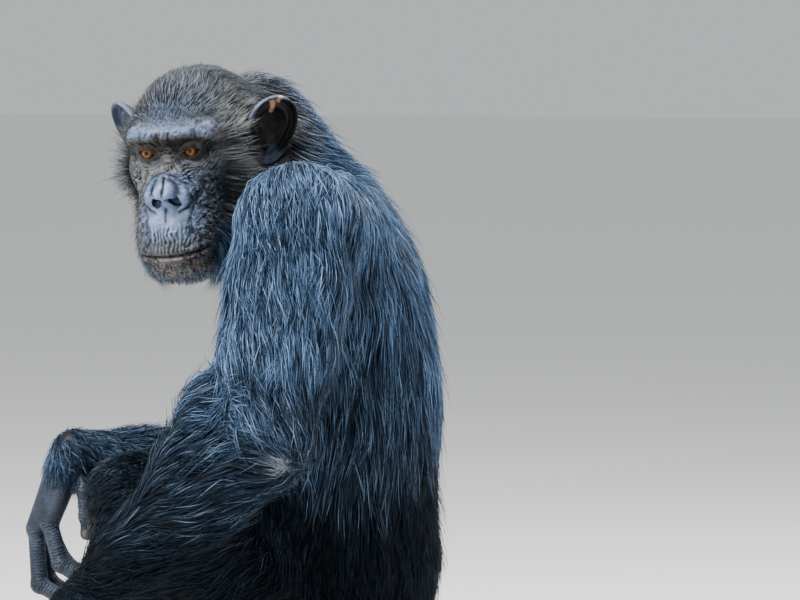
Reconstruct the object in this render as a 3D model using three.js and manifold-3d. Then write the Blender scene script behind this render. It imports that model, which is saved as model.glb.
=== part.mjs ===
// A life-size chimpanzee sitting on the floor, knees drawn up, its face turned to its left.
// Millimetres. +X is the animal's left, -Y the way its hips face, +Z up.
// The origin is on the floor under the seat.
// The flesh is a smooth field of bones and muscles. Each sub-part is a net of rays
// cast from its own axis on to that field, and thin planes part it from its neighbours.

import * as THREE from "three";
import { mergeVertices } from "three/addons/utils/BufferGeometryUtils.js";
import Module from "manifold-3d";

const wasm = await Module();
wasm.setup();

const V = (x, y, z) => new THREE.Vector3(x, y, z);
const lerp = THREE.MathUtils.lerp;
const clamp = THREE.MathUtils.clamp;
const rad = THREE.MathUtils.degToRad;
const between = (a, b, t) => a.clone().lerp(b, t);
const towards = (a, b) => b.clone().sub(a).normalize();
const along = (from, way, length) => from.clone().addScaledVector(way, length);

// Driving sizes
const SEAM = 0.3; // the gap between two sub-parts that grow into each other
const GROW = 0.75; // how far a part is swollen before it is cut out of a neighbour
const EYE_RADIUS = 10.8;
const LID_THICKNESS = 2.6;
const FACE_TURN = 5.5; // degrees that the face is turned past the animal's left
const FACE_PITCH = 17; // degrees that it looks down
const FACE_ROLL = 3.4; // degrees that its left side is raised

// Joint centres of the pose
const J = {
  hip_left: V(78, 58, 95),
  knee_left: V(172, -101, 301),
  ankle_left: V(112, -160, 72),
  hip_right: V(-78, 58, 95),
  knee_right: V(-218, -156, 190),
  ankle_right: V(-182, -372, 72),
  shoulder_left: V(158, 66, 578),
  elbow_left: V(276, 80, 372),
  wrist_left: V(284, -118, 208),
  shoulder_right: V(-140, -34, 562),
  elbow_right: V(-216, -76, 280),
  wrist_right: V(-45, -272, 331),
};

// One bone with its muscle: a line that tapers from one radius to the next
function bone(a, b, ra, rb, soft = 30) {
  const line = b.clone().sub(a);
  const long = line.lengthSq();
  const to = V(0, 0, 0);
  const at = (p) => {
    to.copy(p).sub(a);
    const t = clamp(to.dot(line) / long, 0, 1);
    return to.addScaledVector(line, -t).length() - lerp(ra, rb, t);
  };
  return { at, soft };
}

// One rounded mass with three radii
function lump(centre, radii, soft = 30, turn = new THREE.Quaternion()) {
  const back = turn.clone().invert();
  const q = V(0, 0, 0);
  const at = (p) => {
    q.copy(p).sub(centre).applyQuaternion(back);
    const k0 = Math.hypot(q.x / radii.x, q.y / radii.y, q.z / radii.z);
    const k1 = Math.hypot(q.x / radii.x ** 2, q.y / radii.y ** 2, q.z / radii.z ** 2);
    return k1 < 1e-9 ? -Math.min(radii.x, radii.y, radii.z) : (k0 * (k0 - 1)) / k1;
  };
  return { at, soft };
}

const melt = (a, b, soft) => {
  const near = Math.max(soft - Math.abs(a - b), 0) / soft;
  return Math.min(a, b) - near ** 2 * soft * 0.25;
};
const carve = (a, b, soft) => -melt(-a, b, soft);

function flesh(masses, hollows = []) {
  return (p) => {
    let d = 1e4;
    for (const m of masses) d = melt(d, m.at(p), m.soft);
    for (const h of hollows) d = carve(d, h.at(p), h.soft);
    return d;
  };
}

// The length of a ray before it leaves the flesh
function leave(field, from, way, reach) {
  let near = 0;
  let far = 0;
  let d = field(from);
  while (d < 0 && far < reach) {
    near = far;
    far += clamp(-d * 0.7, 1.5, 20);
    d = field(along(from, way, far));
  }
  if (d < 0) return reach;
  for (let i = 0; i < 9; i++) {
    const middle = (near + far) / 2;
    if (field(along(from, way, middle)) < 0) near = middle;
    else far = middle;
  }
  return near;
}

// A closed solid from rows of points with a single point at either end
function closed(first, rows, last) {
  const points = [first, ...rows.flat(), last];
  const n = rows[0].length;
  const faces = [];
  const id = (r, c) => 1 + r * n + (c % n);
  for (let c = 0; c < n; c++) faces.push(0, id(0, c + 1), id(0, c));
  for (let r = 0; r + 1 < rows.length; r++) {
    for (let c = 0; c < n; c++) {
      const [a, b, d, e] = [id(r, c), id(r, c + 1), id(r + 1, c), id(r + 1, c + 1)];
      const flat = points[a].distanceToSquared(points[e]) < points[b].distanceToSquared(points[d]);
      if (flat) faces.push(a, b, e, a, e, d);
      else faces.push(a, b, d, b, e, d);
    }
  }
  const top = rows.length - 1;
  for (let c = 0; c < n; c++) faces.push(points.length - 1, id(top, c), id(top, c + 1));
  const vertProperties = new Float32Array(points.flatMap((p) => [p.x, p.y, p.z]));
  const whole = new wasm.Manifold(new wasm.Mesh(
    { numProp: 3, vertProperties, triVerts: new Uint32Array(faces) },
  ));
  return whole.volume() < 0 ? flip(vertProperties, faces) : whole;
}

function flip(vertProperties, faces) {
  const turned = [];
  for (let i = 0; i < faces.length; i += 3) turned.push(faces[i], faces[i + 2], faces[i + 1]);
  return new wasm.Manifold(new wasm.Mesh(
    { numProp: 3, vertProperties, triVerts: new Uint32Array(turned) },
  ));
}

// A limb: rays square to a path, with a dome of rays at either end
function limb(
  path,
  field,
  { around = 16, rings = 8, domes = 3, reach = 120, facing = V(1, 0, 0), grow = 0 },
) {
  const curve = path.length > 2 ? new THREE.CatmullRomCurve3(path) : new THREE.LineCurve3(path[0], path[1]);
  const hit = (from, way) => along(from, way, leave(field, from, way, reach) + grow);
  const ring = (t, tilt) => {
    const from = curve.getPointAt(t);
    const ahead = curve.getTangentAt(t);
    const side = facing.clone().addScaledVector(ahead, -facing.dot(ahead)).normalize();
    const over = ahead.clone().cross(side);
    return Array.from({ length: around }, (_, c) => {
      const angle = (c / around) * Math.PI * 2;
      const out = side.clone().multiplyScalar(Math.cos(angle)).addScaledVector(over, Math.sin(angle));
      return hit(from, out.multiplyScalar(Math.cos(tilt)).addScaledVector(ahead, Math.sin(tilt)));
    });
  };
  const rows = [];
  for (let d = domes; d > 0; d--) rows.push(ring(0, (-Math.PI / 2) * (d / (domes + 1))));
  for (let r = 0; r <= rings; r++) rows.push(ring(r / rings, 0));
  for (let d = 1; d <= domes; d++) rows.push(ring(1, (Math.PI / 2) * (d / (domes + 1))));
  const first = hit(curve.getPointAt(0), curve.getTangentAt(0).negate());
  const last = hit(curve.getPointAt(1), curve.getTangentAt(1));
  return closed(first, rows, last);
}

// A thin closed strip or rope along points, oval in section, that ends in two tips
function rope(points, widths, heights, over, sides = 6) {
  const rows = [];
  const count = points.length;
  for (let i = 1; i + 1 < count; i++) {
    const ahead = towards(points[i - 1], points[i + 1]);
    const side = ahead.clone().cross(over).normalize();
    const up = side.clone().cross(ahead);
    const row = Array.from({ length: sides }, (_, c) => {
      const angle = sides === 3 ? (c * Math.PI) / 2 : (c / sides) * Math.PI * 2;
      const p = along(points[i], side, Math.cos(angle) * widths[i]);
      return p.addScaledVector(up, Math.sin(angle) * heights[i]);
    });
    rows.push(row);
  }
  return closed(points[0], rows, points[count - 1]);
}

const largest = (whole) => whole.decompose().sort((a, b) => b.volume() - a.volume())[0];
const keep = (whole, at, normal, gap = SEAM / 2) => {
  const n = normal.clone().normalize();
  return whole.trimByPlane([n.x, n.y, n.z], n.dot(at) + gap);
};
const mitre = (a, at, b) => towards(a, at).add(towards(at, b)).normalize();
const stand = (whole) => whole.trimByPlane([0, 0, 1], 0);
const ball = (centre, radius, around = 20, high = 14) => solid(
  new THREE.SphereGeometry(radius, around, high),
  centre,
);

function solid(geometry, move = V(0, 0, 0), turn = new THREE.Quaternion()) {
  const plain = new THREE.BufferGeometry();
  const placed = geometry.clone().applyMatrix4(new THREE.Matrix4().compose(move, turn, V(1, 1, 1)));
  plain.setAttribute("position", placed.getAttribute("position"));
  plain.setIndex(placed.getIndex());
  const merged = mergeVertices(plain, 1e-4);
  const vertProperties = new Float32Array(merged.getAttribute("position").array);
  const triVerts = new Uint32Array(merged.getIndex().array);
  return new wasm.Manifold(new wasm.Mesh({ numProp: 3, vertProperties, triVerts }));
}

// Locks of long hair: each is a flat, bent, tapered strip.
// Its root is sunk in the flesh and its tip stands off it
let seed = 20;
const chance = (spread) => {
  seed = (seed * 1103515245 + 12345) % 2147483648;
  return (seed / 2147483648 - 0.5) * 2 * spread;
};
function outwards(field, p) {
  const e = 2;
  const d = (v) => field(p.clone().add(v)) - field(p.clone().sub(v));
  return V(d(V(e, 0, 0)), d(V(0, e, 0)), d(V(0, 0, e))).normalize();
}
function settle(field, p, lift) {
  const q = p.clone();
  for (let i = 0; i < 3; i++) q.addScaledVector(outwards(field, q), lift - field(q));
  return q;
}
function lock(field, start, flow, { length = 78, half = 14, thick = 4.5, tip = 11 } = {}) {
  const lifts = [-7, -2, 1, 4, tip];
  const spine = [settle(field, start, lifts[0])];
  const bend = chance(0.25);
  for (let i = 1; i < lifts.length; i++) {
    const before = spine[i - 1];
    const out = outwards(field, before);
    const way = flow(before).normalize();
    way.addScaledVector(out, -way.dot(out)).normalize();
    way.applyAxisAngle(out, bend + chance(0.08));
    spine.push(settle(
      field,
      along(before, way, (length * (1 + chance(0.12))) / (lifts.length - 1)),
      lifts[i],
    ));
  }
  const out = outwards(field, spine[2]);
  const widths = [0, half, half * 0.95, half * 0.62, 0];
  const heights = [0, thick, thick * 1.1, thick * 0.8, 0];
  return { spine, solid: rope(spine, widths, heights, out, 3) };
}
// Adds a lock at each seed; one that would come near a part in the way is left out
function comb(whole, field, seeds, flow, size, avoid = []) {
  let out = whole;
  for (const start of seeds) {
    const made = lock(field, start, flow, size);
    const blocked = made.spine.some((p) => p.z < 14 || avoid.some((other) => other(p) < 13));
    if (!blocked) out = out.add(made.solid);
  }
  return out;
}
// Seeds round a line: rows along it, each with places at angles round it,
// every second row shifted by half a place
function seedsAround(from, to, field, facing, rows, angles, reach = 160) {
  const ahead = towards(from, to);
  const side = facing.clone().addScaledVector(ahead, -facing.dot(ahead)).normalize();
  const over = ahead.clone().cross(side);
  const seeds = [];
  rows.forEach((t, row) => {
    const centre = between(from, to, t);
    const pitch = angles.length > 1 ? angles[1] - angles[0] : 0;
    for (const angle of angles) {
      const a = rad(angle + (row % 2 ? pitch / 2 : 0) + chance(pitch * 0.12));
      const way = side.clone().multiplyScalar(Math.cos(a)).addScaledVector(over, Math.sin(a));
      seeds.push(along(centre, way, leave(field, centre, way, reach)));
    }
  });
  return seeds;
}
const steps = (first, last, count) => Array.from(
  { length: count },
  (_, i) => lerp(first, last, i / (count - 1)),
);

// The trunk, leaning forward at the top, its chest turned to the left
const TWIST = new THREE.Quaternion().setFromAxisAngle(V(0, 0, 1), THREE.MathUtils.degToRad(13));
const trunk = [
  lump(V(0, 38, 97), V(130, 102, 113)),
  lump(V(0, 34, 235), V(130, 102, 120)),
  lump(V(2, 34, 365), V(142, 106, 130), 40, TWIST),
  lump(V(6, 38, 480), V(138, 92, 100), 40, TWIST),
  bone(V(62, 54, 556), V(-56, 10, 548), 50, 50, 40),
  bone(V(4, 72, 420), V(2, 46, 536), 62, 48, 40),
];
const neck = [
  bone(V(0, 22, 540), V(-24, -82, 593), 64, 51, 30),
  bone(V(-30, 12, 578), V(-54, -70, 666), 48, 49, 24),
  bone(V(25, -30, 552), V(40, -86, 578), 38, 32, 30),
];
const shoulder = (side) => {
  const top = J["shoulder_" + side];
  const elbow = J["elbow_" + side];
  const girdle = V(top.x * 0.45, top.y * 0.5 + 18, 568);
  return [bone(girdle, top, 52, 56, 36), bone(top, between(top, elbow, 0.3), 57, 55, 30)];
};
const upperArm = (side) => {
  const top = J["shoulder_" + side];
  const elbow = J["elbow_" + side];
  return [
    bone(between(top, elbow, 0.3), between(top, elbow, 0.62), 55, 50, 26),
    bone(between(top, elbow, 0.62), elbow, 50, 40, 26),
  ];
};
const foreArm = (side) => {
  const elbow = J["elbow_" + side];
  const wrist = J["wrist_" + side];
  return [
    bone(elbow, between(elbow, wrist, 0.3), 40, 41, 24),
    bone(between(elbow, wrist, 0.3), between(elbow, wrist, 0.7), 41, 33, 24),
    bone(between(elbow, wrist, 0.7), wrist, 32, 23, 24),
    bone(elbow, along(elbow, towards(wrist, elbow), 10), 34, 26, 18),
    bone(
      between(elbow, J["shoulder_" + side], 0.14).add(V(0, -60, 4)),
      between(elbow, wrist, 0.45),
      32,
      33,
      26,
    ),
  ];
};
const thigh = (side) => {
  const hip = J["hip_" + side];
  const knee = J["knee_" + side];
  return [
    bone(hip, between(hip, knee, 0.5), 84, 70, 34),
    bone(between(hip, knee, 0.5), between(hip, knee, 0.85), 70, 55, 30),
    bone(between(hip, knee, 0.85), knee, 54, 46, 22),
  ];
};
const shin = (side) => {
  const knee = J["knee_" + side];
  const ankle = J["ankle_" + side];
  const calf = V(0, 14, 4);
  return [
    bone(knee, between(knee, ankle, 0.3).add(calf), 45, 46, 22),
    bone(between(knee, ankle, 0.3).add(calf), between(knee, ankle, 0.65).add(calf), 46, 36, 24),
    bone(between(knee, ankle, 0.65), ankle, 33, 30, 24),
  ];
};

// Where the trunk is parted
const waistAt = V(0, 30, 205);
const waistWay = V(0, 0.08, 1);
const loinAt = V(0, 26, 318);
const loinWay = V(0, 0.1, 1);
const neckAt = V(-8, -12, 575);
const neckWay = V(-0.2, -0.78, 0.59);
const skullAt = V(8, -62, 588);
const skullWay = V(0.6, -0.56, 0.57);
const shoulderAt = { left: V(118, 52, 566), right: V(-108, -3, 560) };
const shoulderWay = { left: V(0.947, 0.22, 0.236), right: V(-0.947, -0.22, 0.236) };
const hipAt = { left: V(88, 30, 100), right: V(-86, 24, 96) };
const hipWay = { left: V(0.8, -0.5, -0.267), right: V(-0.72, -0.66, -0.2) };

const parts = {};
const sides = ["left", "right"];

const trunkFlesh = flesh([
  ...trunk,
  ...neck,
  ...sides.flatMap((s) => [...shoulder(s), ...thigh(s).slice(0, 2)]),
]);
const trunkPath = [V(0, 40, 90), V(0, 34, 170), V(1, 24, 270), V(2, 22, 380), V(4, 24, 470), V(4, 24, 530)];
let body = limb(
  trunkPath,
  trunkFlesh,
  { around: 24, rings: 13, domes: 5, reach: 190, facing: V(0, -1, 0) },
);
body = stand(body);
const legFields = sides.map((s) => flesh([...thigh(s).slice(1), ...shin(s)]));
const armFields = sides.map((s) => flesh([...upperArm(s), ...foreArm(s)]));
// Rows of locks up the back, each row ending above the next joint of the trunk
const BACK_ROWS = [0.2, 0.44, 0.75, 0.96];
const backSeeds = [
  ...seedsAround(V(0, 40, 100), V(4, 24, 560), trunkFlesh, V(0, 1, 0), BACK_ROWS, steps(-90, 90, 4), 190),
  ...seedsAround(V(0, 40, 100), V(4, 24, 560), trunkFlesh, V(0, -1, 0), [0.76], steps(-40, 40, 2), 190),
];
const backFlow = (p) => V(p.x * 0.0022, 0.05, -1);
body = comb(
  body,
  trunkFlesh,
  backSeeds,
  backFlow,
  { length: 104, half: 27, thick: 7, tip: 14 },
  [...legFields, ...armFields],
);
for (const side of sides) {
  const out = keep(body, shoulderAt[side], shoulderWay[side].clone().negate());
  body = keep(out, hipAt[side], hipWay[side].clone().negate());
}
body = largest(keep(body, neckAt, neckWay.clone().negate()));
parts.pelvis = largest(keep(body, waistAt, waistWay.clone().negate()));
parts.belly = largest(keep(keep(body, waistAt, waistWay), loinAt, loinWay.clone().negate()));
parts.chest = largest(keep(body, loinAt, loinWay));

// The head, in its own frame: x to its left, y to its back, z to its crown
const headAt = V(40.2, -95.5, 646);
const faceWay = V(Math.cos(rad(FACE_TURN)), Math.sin(rad(FACE_TURN)), 0)
  .multiplyScalar(Math.cos(rad(FACE_PITCH)))
  .setZ(-Math.sin(rad(FACE_PITCH)));
const headLeft = V(
  -Math.sin(rad(FACE_TURN)),
  Math.cos(rad(FACE_TURN)),
  0,
).applyAxisAngle(faceWay, rad(FACE_ROLL));
const headUp = faceWay.clone().cross(headLeft);
const headTurn = new THREE.Quaternion().setFromRotationMatrix(
  new THREE.Matrix4().makeBasis(headLeft, faceWay.clone().negate(), headUp),
);
const H = (x, y, z) => V(x, y, z).applyQuaternion(headTurn).add(headAt);
const W = (x, y, z) => V(x, y, z).applyQuaternion(headTurn);
const mass = (x, y, z, rx, ry, rz, soft) => lump(H(x, y, z), V(rx, ry, rz), soft, headTurn);
const pair = (x, y, z, rx, ry, rz, soft) => [
  mass(x, y, z, rx, ry, rz, soft),
  mass(-x, y, z, rx, ry, rz, soft),
];
const twin = (a, b, ra, rb, soft) =>
  [1, -1].map((s) => bone(H(s * a.x, a.y, a.z), H(s * b.x, b.y, b.z), ra, rb, soft));

const skull = [
  mass(0, 12, 19, 62, 72, 57, 20),
  mass(0, 50, 12, 46, 36, 42, 20),
  mass(0, -36, 34, 49, 38, 23, 14),
  mass(0, -42, 10, 49, 33, 26, 14),
  mass(0, -44, -22, 45, 42, 42, 20),
  ...pair(41, -46, -8, 19, 24, 22, 16),
  ...twin(V(46, -4, -28), V(24, -70, -86), 25, 22, 22),
  mass(0, -70, -56, 43, 44, 44, 20),
  mass(0, -84, -72, 40, 38, 26, 16),
  mass(0, -76, -95, 34, 33, 22, 14),
  bone(H(0, -45, -78), H(0, 25, -55), 30, 42, 24),
  ...twin(V(45, -46, 18), V(36, -65, 31), 9, 9.5, 10),
  ...twin(V(36, -65, 31), V(18, -76, 36.5), 9.5, 10, 9),
  ...twin(V(18, -76, 36.5), V(0, -77, 34.5), 10, 9, 9),
  bone(H(0, -64, 26), H(0, -72, 4), 9, 8, 10),
  bone(H(0, -72, 4), H(0, -90, -8), 9, 11, 10),
];
const nose = [
  mass(0, -90, -8, 18, 15, 17, 8),
  mass(0, -101, -18, 12.5, 13.5, 10.5, 7),
  ...pair(16.5, -94, -23, 11.5, 11.5, 10.5, 5),
  ...twin(V(8, -93, -2), V(17, -92, -20), 9, 9.5, 6),
];
const orbits = pair(25, -91, 16, 17, 14, 11, 8);
const headFlesh = flesh([...skull, ...neck, ...nose], orbits);

// Rays from the middle of the head; rows lie closer together over the face
const headMiddle = H(0, -34, -12);
const poleWay = W(0, -0.94, -0.34).normalize();
const headOver = headLeft.clone().cross(poleWay);
function headNet(grow) {
  const rows = [];
  const count = 31;
  const around = 40;
  for (let r = 1; r < count; r++) {
    const t = r / count;
    const polar = Math.PI * (0.42 * t + 0.58 * t ** 2.1);
    const row = Array.from({ length: around }, (_, c) => {
      const angle = (c / around) * Math.PI * 2;
      const out = headLeft.clone().multiplyScalar(Math.cos(angle)).addScaledVector(
        headOver,
        Math.sin(angle),
      );
      const way = out.multiplyScalar(Math.sin(polar)).addScaledVector(poleWay, Math.cos(polar));
      return along(headMiddle, way, leave(headFlesh, headMiddle, way, 150) + grow);
    });
    rows.push(row);
  }
  const tip = (way) => along(headMiddle, way, leave(headFlesh, headMiddle, way, 150) + grow);
  return closed(tip(poleWay), rows, tip(poleWay.clone().negate()));
}
let head = headNet(0);
const headSwollen = headNet(GROW);

// The eyes, and the lids that wrap them
for (const side of sides) {
  const s = side === "left" ? 1 : -1;
  const eyeAt = H(23 * s, -67, 16);
  parts["eye_" + side] = ball(eyeAt, EYE_RADIUS, 14, 10);
  head = head.add(ball(eyeAt, EYE_RADIUS + LID_THICKNESS, 14, 10));
  const wide = solid(new THREE.BoxGeometry(60, 40, 40), V(0, -20, 0));
  const open = wide.trimByPlane([0, -0.98, 1], -0.8).trimByPlane([0, -0.85, -1], -0.8);
  const slot = open.transform(
    new THREE.Matrix4().compose(along(eyeAt, W(0, -1, 0), 5.5), headTurn, V(1, 1, 1)).toArray(),
  );
  head = head.subtract(ball(eyeAt, EYE_RADIUS + SEAM, 14, 10));
  head = head.subtract(slot.intersect(ball(eyeAt, EYE_RADIUS + LID_THICKNESS + 1.5, 10, 6)));
}

// Nostrils, the line of the mouth and the two lips
for (const s of [1, -1]) {
  const turn = new THREE.Quaternion().setFromAxisAngle(W(0, 0, 1), s * 0.5).multiply(headTurn);
  const hole = new THREE.SphereGeometry(1, 8, 6).scale(5.6, 10, 5);
  head = head.subtract(solid(hole, H(8.8 * s, -108.5, -25.5), turn));
}
const surface = (x, z) => {
  const from = H(x * 0.5, -60, z);
  const way = towards(from, H(x, -130, z));
  return along(from, way, leave(headFlesh, from, way, 100));
};
const mouthRow = (drop, half, lift) =>
  Array.from({ length: 11 }, (_, i) => {
    const u = i / 5 - 1;
    return surface(half * u, -78 - drop + lift * u * u);
  });
const level = (size, ends) => Array.from(
  { length: 11 },
  (_, i) => lerp(size, ends, Math.abs(i / 5 - 1) ** 2),
);
head = head.add(rope(mouthRow(-4.6, 37, 3.2), level(4.6, 1.4), level(3.0, 0.8), W(0, -1, 0), 5));
head = head.add(rope(mouthRow(5, 36, 4.2), level(5, 1.4), level(3.4, 0.8), W(0, -1, 0), 5));
head = head.subtract(rope(mouthRow(0, 40, 3.6), level(4.6, 2), level(1.1, 0.7), W(0, 0, 1), 4));
const inHead = (p) => p.clone().sub(headAt).applyQuaternion(headTurn.clone().invert());
const headSeed = (x, y, z) => {
  const way = towards(headMiddle, H(x, y, z));
  return along(headMiddle, way, leave(headFlesh, headMiddle, way, 150));
};
const earPlace = (side) => {
  const s = side === "left" ? 1 : -1;
  const tilt = new THREE.Quaternion().setFromAxisAngle(V(0, 0, 1), s * -0.8);
  const lean = new THREE.Quaternion().setFromAxisAngle(V(0, 1, 0), s * 0.32);
  return { s, turn: headTurn.clone().multiply(lean).multiply(tilt), centre: H(76 * s, 14, 9) };
};
const earFields = sides.map((side) => {
  const { turn, centre } = earPlace(side);
  return flesh([lump(centre, V(15, 28, 38), 40, turn)]);
});
const cheekSeeds = [];
for (const s of [1, -1]) {
  for (const z of steps(20, -70, 3)) cheekSeeds.push(headSeed(s * 62, -34 + 0.1 * z, z));
  for (const z of steps(42, -20, 2)) cheekSeeds.push(headSeed(s * 64, -6, z));
}
const cheekFlow = (p) => {
  const q = inHead(p);
  return W(Math.sign(q.x) * 0.5, 0.75, q.z > 20 ? 0.1 : -0.75);
};
head = comb(
  head,
  headFlesh,
  cheekSeeds,
  cheekFlow,
  { length: 50, half: 14, thick: 4.4, tip: 10 },
  earFields,
);
const crownSeeds = [];
for (const y of steps(-30, 40, 3)) for (const x of steps(-22, 22, 2)) crownSeeds.push(headSeed(x, y, 90));
const crownFlow = (p) => W(inHead(p).x * 0.008, 1, -0.25);
head = comb(
  head,
  headFlesh,
  crownSeeds,
  crownFlow,
  { length: 62, half: 17, thick: 4.6, tip: 9 },
  earFields,
);
const chinSeeds = steps(-26, 26, 3).map((x) => headSeed(x, -92 + 0.3 * Math.abs(x), -112));
head = comb(head, headFlesh, chinSeeds, () => W(0, 0.3, -1), { length: 26, half: 7, thick: 2.6, tip: 8 });
head = keep(head, skullAt, skullWay);
parts.head = largest(head);
parts.chest = largest(parts.chest.subtract(keep(headSwollen, skullAt, skullWay, 0)));

// The neck
const neckPath = [V(4, 30, 548), V(-24, -78, 604)];
const neckFlesh = flesh([...trunk, ...neck, ...skull, ...sides.flatMap(shoulder)]);
const neckShape = { around: 18, rings: 5, domes: 3, reach: 120 };
const neckSwollen = limb(neckPath, neckFlesh, { ...neckShape, grow: GROW });
let throat = limb(neckPath, neckFlesh, neckShape);
const napeSeeds = seedsAround(
  V(-10, 20, 570),
  V(-40, -70, 630),
  neckFlesh,
  V(0, 0, 1),
  steps(0.2, 0.9, 2),
  steps(-30, 70, 2),
  110,
);
throat = comb(
  throat,
  neckFlesh,
  napeSeeds,
  () => V(0.1, 0.9, -0.5),
  { length: 60, half: 13, thick: 4, tip: 11 },
);
throat = keep(keep(throat, neckAt, neckWay), skullAt, skullWay.clone().negate());
for (const side of sides) throat = keep(throat, shoulderAt[side], shoulderWay[side].clone().negate());
parts.neck = largest(throat);

// The ears: a cup with a rolled rim
for (const side of sides) {
  const { s, turn, centre } = earPlace(side);
  const E = (x, y, z) => V(x * s, y, z).applyQuaternion(turn).add(centre);
  const outer = solid(new THREE.SphereGeometry(1, 16, 10).scale(15, 28, 38), centre, turn);
  const inner = solid(new THREE.SphereGeometry(1, 16, 10).scale(15, 24.5, 34.5), E(6.5, 0, 0), turn);
  let ear = outer.subtract(inner);
  ear = keep(ear, E(4, 0, 0), E(-1, 0, 0).sub(E(0, 0, 0)), 0);
  const rim = Array.from({ length: 14 }, (_, i) => {
    const a = (i / 13) * Math.PI * 1.62 - 0.62;
    return E(3.5, 26.5 * Math.sin(a + 0.5) * 1, 35.5 * Math.cos(a + 0.5));
  });
  const fat = Array.from({ length: 14 }, (_, i) => 1.2 + 2.4 * Math.sin((i / 13) * Math.PI) ** 0.5);
  ear = ear.add(rope(rim, fat, fat, E(1, 0, 0).sub(E(0, 0, 0)), 5));
  ear = ear.subtract(headSwollen).subtract(neckSwollen);
  parts["ear_" + side] = largest(keep(ear, headAt, W(s, 0, 0), 20));
}

// Arms
const armFacing = V(0, -1, 0);
for (const side of sides) {
  const top = J["shoulder_" + side];
  const elbow = J["elbow_" + side];
  const wrist = J["wrist_" + side];
  const armFlesh = flesh([
    ...trunk,
    ...shoulder(side),
    ...upperArm(side),
    foreArm(side)[0],
    foreArm(side)[3],
  ]);
  let arm = limb([top, elbow], armFlesh, { around: 14, rings: 7, domes: 3, reach: 105, facing: armFacing });
  const armSeeds = seedsAround(
    top,
    elbow,
    armFlesh,
    V(0, 1, 0),
    steps(0.02, 0.52, 2),
    steps(-180, 90, 4),
    100,
  );
  const armFlow = (p) => towards(top, elbow).addScaledVector(V(0, 1, 0), 0.25);
  arm = comb(
    arm,
    armFlesh,
    armSeeds,
    armFlow,
    { length: 118, half: 22, thick: 6.5, tip: 13 },
    [flesh(trunk)],
  );
  arm = keep(arm, shoulderAt[side], shoulderWay[side]);
  parts["upper_arm_" + side] = largest(keep(arm, elbow, mitre(top, elbow, wrist).negate()));
  const foreFlesh = flesh([upperArm(side)[1], ...foreArm(side)]);
  let fore = limb(
    [elbow, wrist],
    foreFlesh,
    { around: 14, rings: 8, domes: 2, reach: 80, facing: V(0, 0, 1) },
  );
  const foreSeeds = seedsAround(
    wrist,
    elbow,
    foreFlesh,
    V(0, 0, 1),
    steps(0.3, 0.62, 2),
    steps(-160, 80, 3),
    80,
  );
  const foreFlow = (p) => towards(wrist, elbow).addScaledVector(V(0, 0, 1), -0.35);
  const inTheWay = [...legFields, flesh([upperArm(side)[0]])];
  fore = comb(
    fore,
    foreFlesh,
    foreSeeds,
    foreFlow,
    { length: 86, half: 17, thick: 5.5, tip: 12 },
    inTheWay,
  );
  const tuft = steps(-0.7, 0.7, 2).map((u) => V(
    elbow.x + 12 * u,
    elbow.y + 18,
    elbow.z - 16 - 6 * Math.abs(u),
  ));
  const tuftFlow = () => V(-0.1, 0.9, -0.5);
  parts["forearm_" + side] = comb(
    fore,
    foreFlesh,
    tuft,
    tuftFlow,
    { length: 58, half: 9, thick: 4, tip: 22 },
  );
}

// Hands: the palm is four bones in a row, the fingers are cut free from it
function hand(side, palmRoots, knuckles, fingers, thumb) {
  const wrist = J["wrist_" + side];
  const elbow = J["elbow_" + side];
  const middle = knuckles.reduce((a, k) => a.add(k), V(0, 0, 0)).multiplyScalar(0.25);
  const palmBones = knuckles.map((k, i) => bone(palmRoots[i], k, 14, 11.5, 9));
  const heel = bone(wrist, between(wrist, thumb[0], 0.7), 21, 14, 12);
  const palmFlesh = flesh([foreArm(side)[2], ...palmBones, heel]);
  const across = knuckles[0].clone().sub(knuckles[3]);
  const shape = { around: 14, rings: 5, domes: 2, reach: 70, facing: across };
  const away = mitre(elbow, wrist, middle);
  parts["forearm_" + side] = largest(
    keep(
      keep(parts["forearm_" + side], wrist, away.clone().negate()),
      elbow,
      mitre(J["shoulder_" + side], elbow, wrist),
    ),
  );
  const palmPath = [wrist, between(wrist, middle, 0.86)];
  parts["hand_" + side] = largest(keep(limb(palmPath, palmFlesh, shape), wrist, away));
  const swollen = limb(palmPath, palmFlesh, { ...shape, grow: GROW });
  const names = ["index_finger", "middle_finger", "ring_finger", "little_finger", "thumb"];
  [...fingers, thumb].forEach((path, i) => {
    const radii = i > 2 ? [9.6, 9.0, 8.3, 7.2] : [10.1, 9.8, 9.2, 7.8];
    const chain = [];
    for (let k = 0; k + 1 < path.length; k++) {
      chain.push(bone(path[k], path[k + 1], radii[k] - 0.8, radii[k + 1], 3));
      chain.push(bone(
        path[k + 1],
        along(path[k + 1], towards(path[k], path[k + 1]), 0.1),
        radii[k + 1] + 0.3,
        radii[k + 1],
        3,
      ));
    }
    const option = { around: 7, rings: 6, domes: 1, reach: 20, facing: across };
    const start = between(path[0], path[1], 0.02);
    const way = [start, ...path.slice(1)];
    const finger = limb(way, flesh(chain), option).subtract(swollen);
    parts[names[i] + "_" + side] = largest(stand(finger));
  });
}

hand(
  "right",
  [V(-40, -268, 322), V(-46, -280, 322), V(-55, -288, 322), V(-64, -292, 320)],
  [V(-42, -298, 254), V(-52, -318, 246), V(-70, -326, 246), V(-88, -326, 252)],
  [
    [V(-42, -298, 254), V(-40, -284, 212), V(-46, -256, 192), V(-52, -244, 204)],
    [V(-52, -318, 246), V(-52, -314, 188), V(-58, -278, 168), V(-64, -262, 180)],
    [V(-70, -326, 246), V(-76, -316, 190), V(-82, -282, 168), V(-86, -268, 180)],
    [V(-88, -326, 252), V(-98, -308, 208), V(-104, -282, 190), V(-106, -270, 202)],
  ],
  [V(-40, -262, 318), V(-36, -256, 290), V(-38, -254, 262), V(-44, -256, 244)],
);

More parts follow.
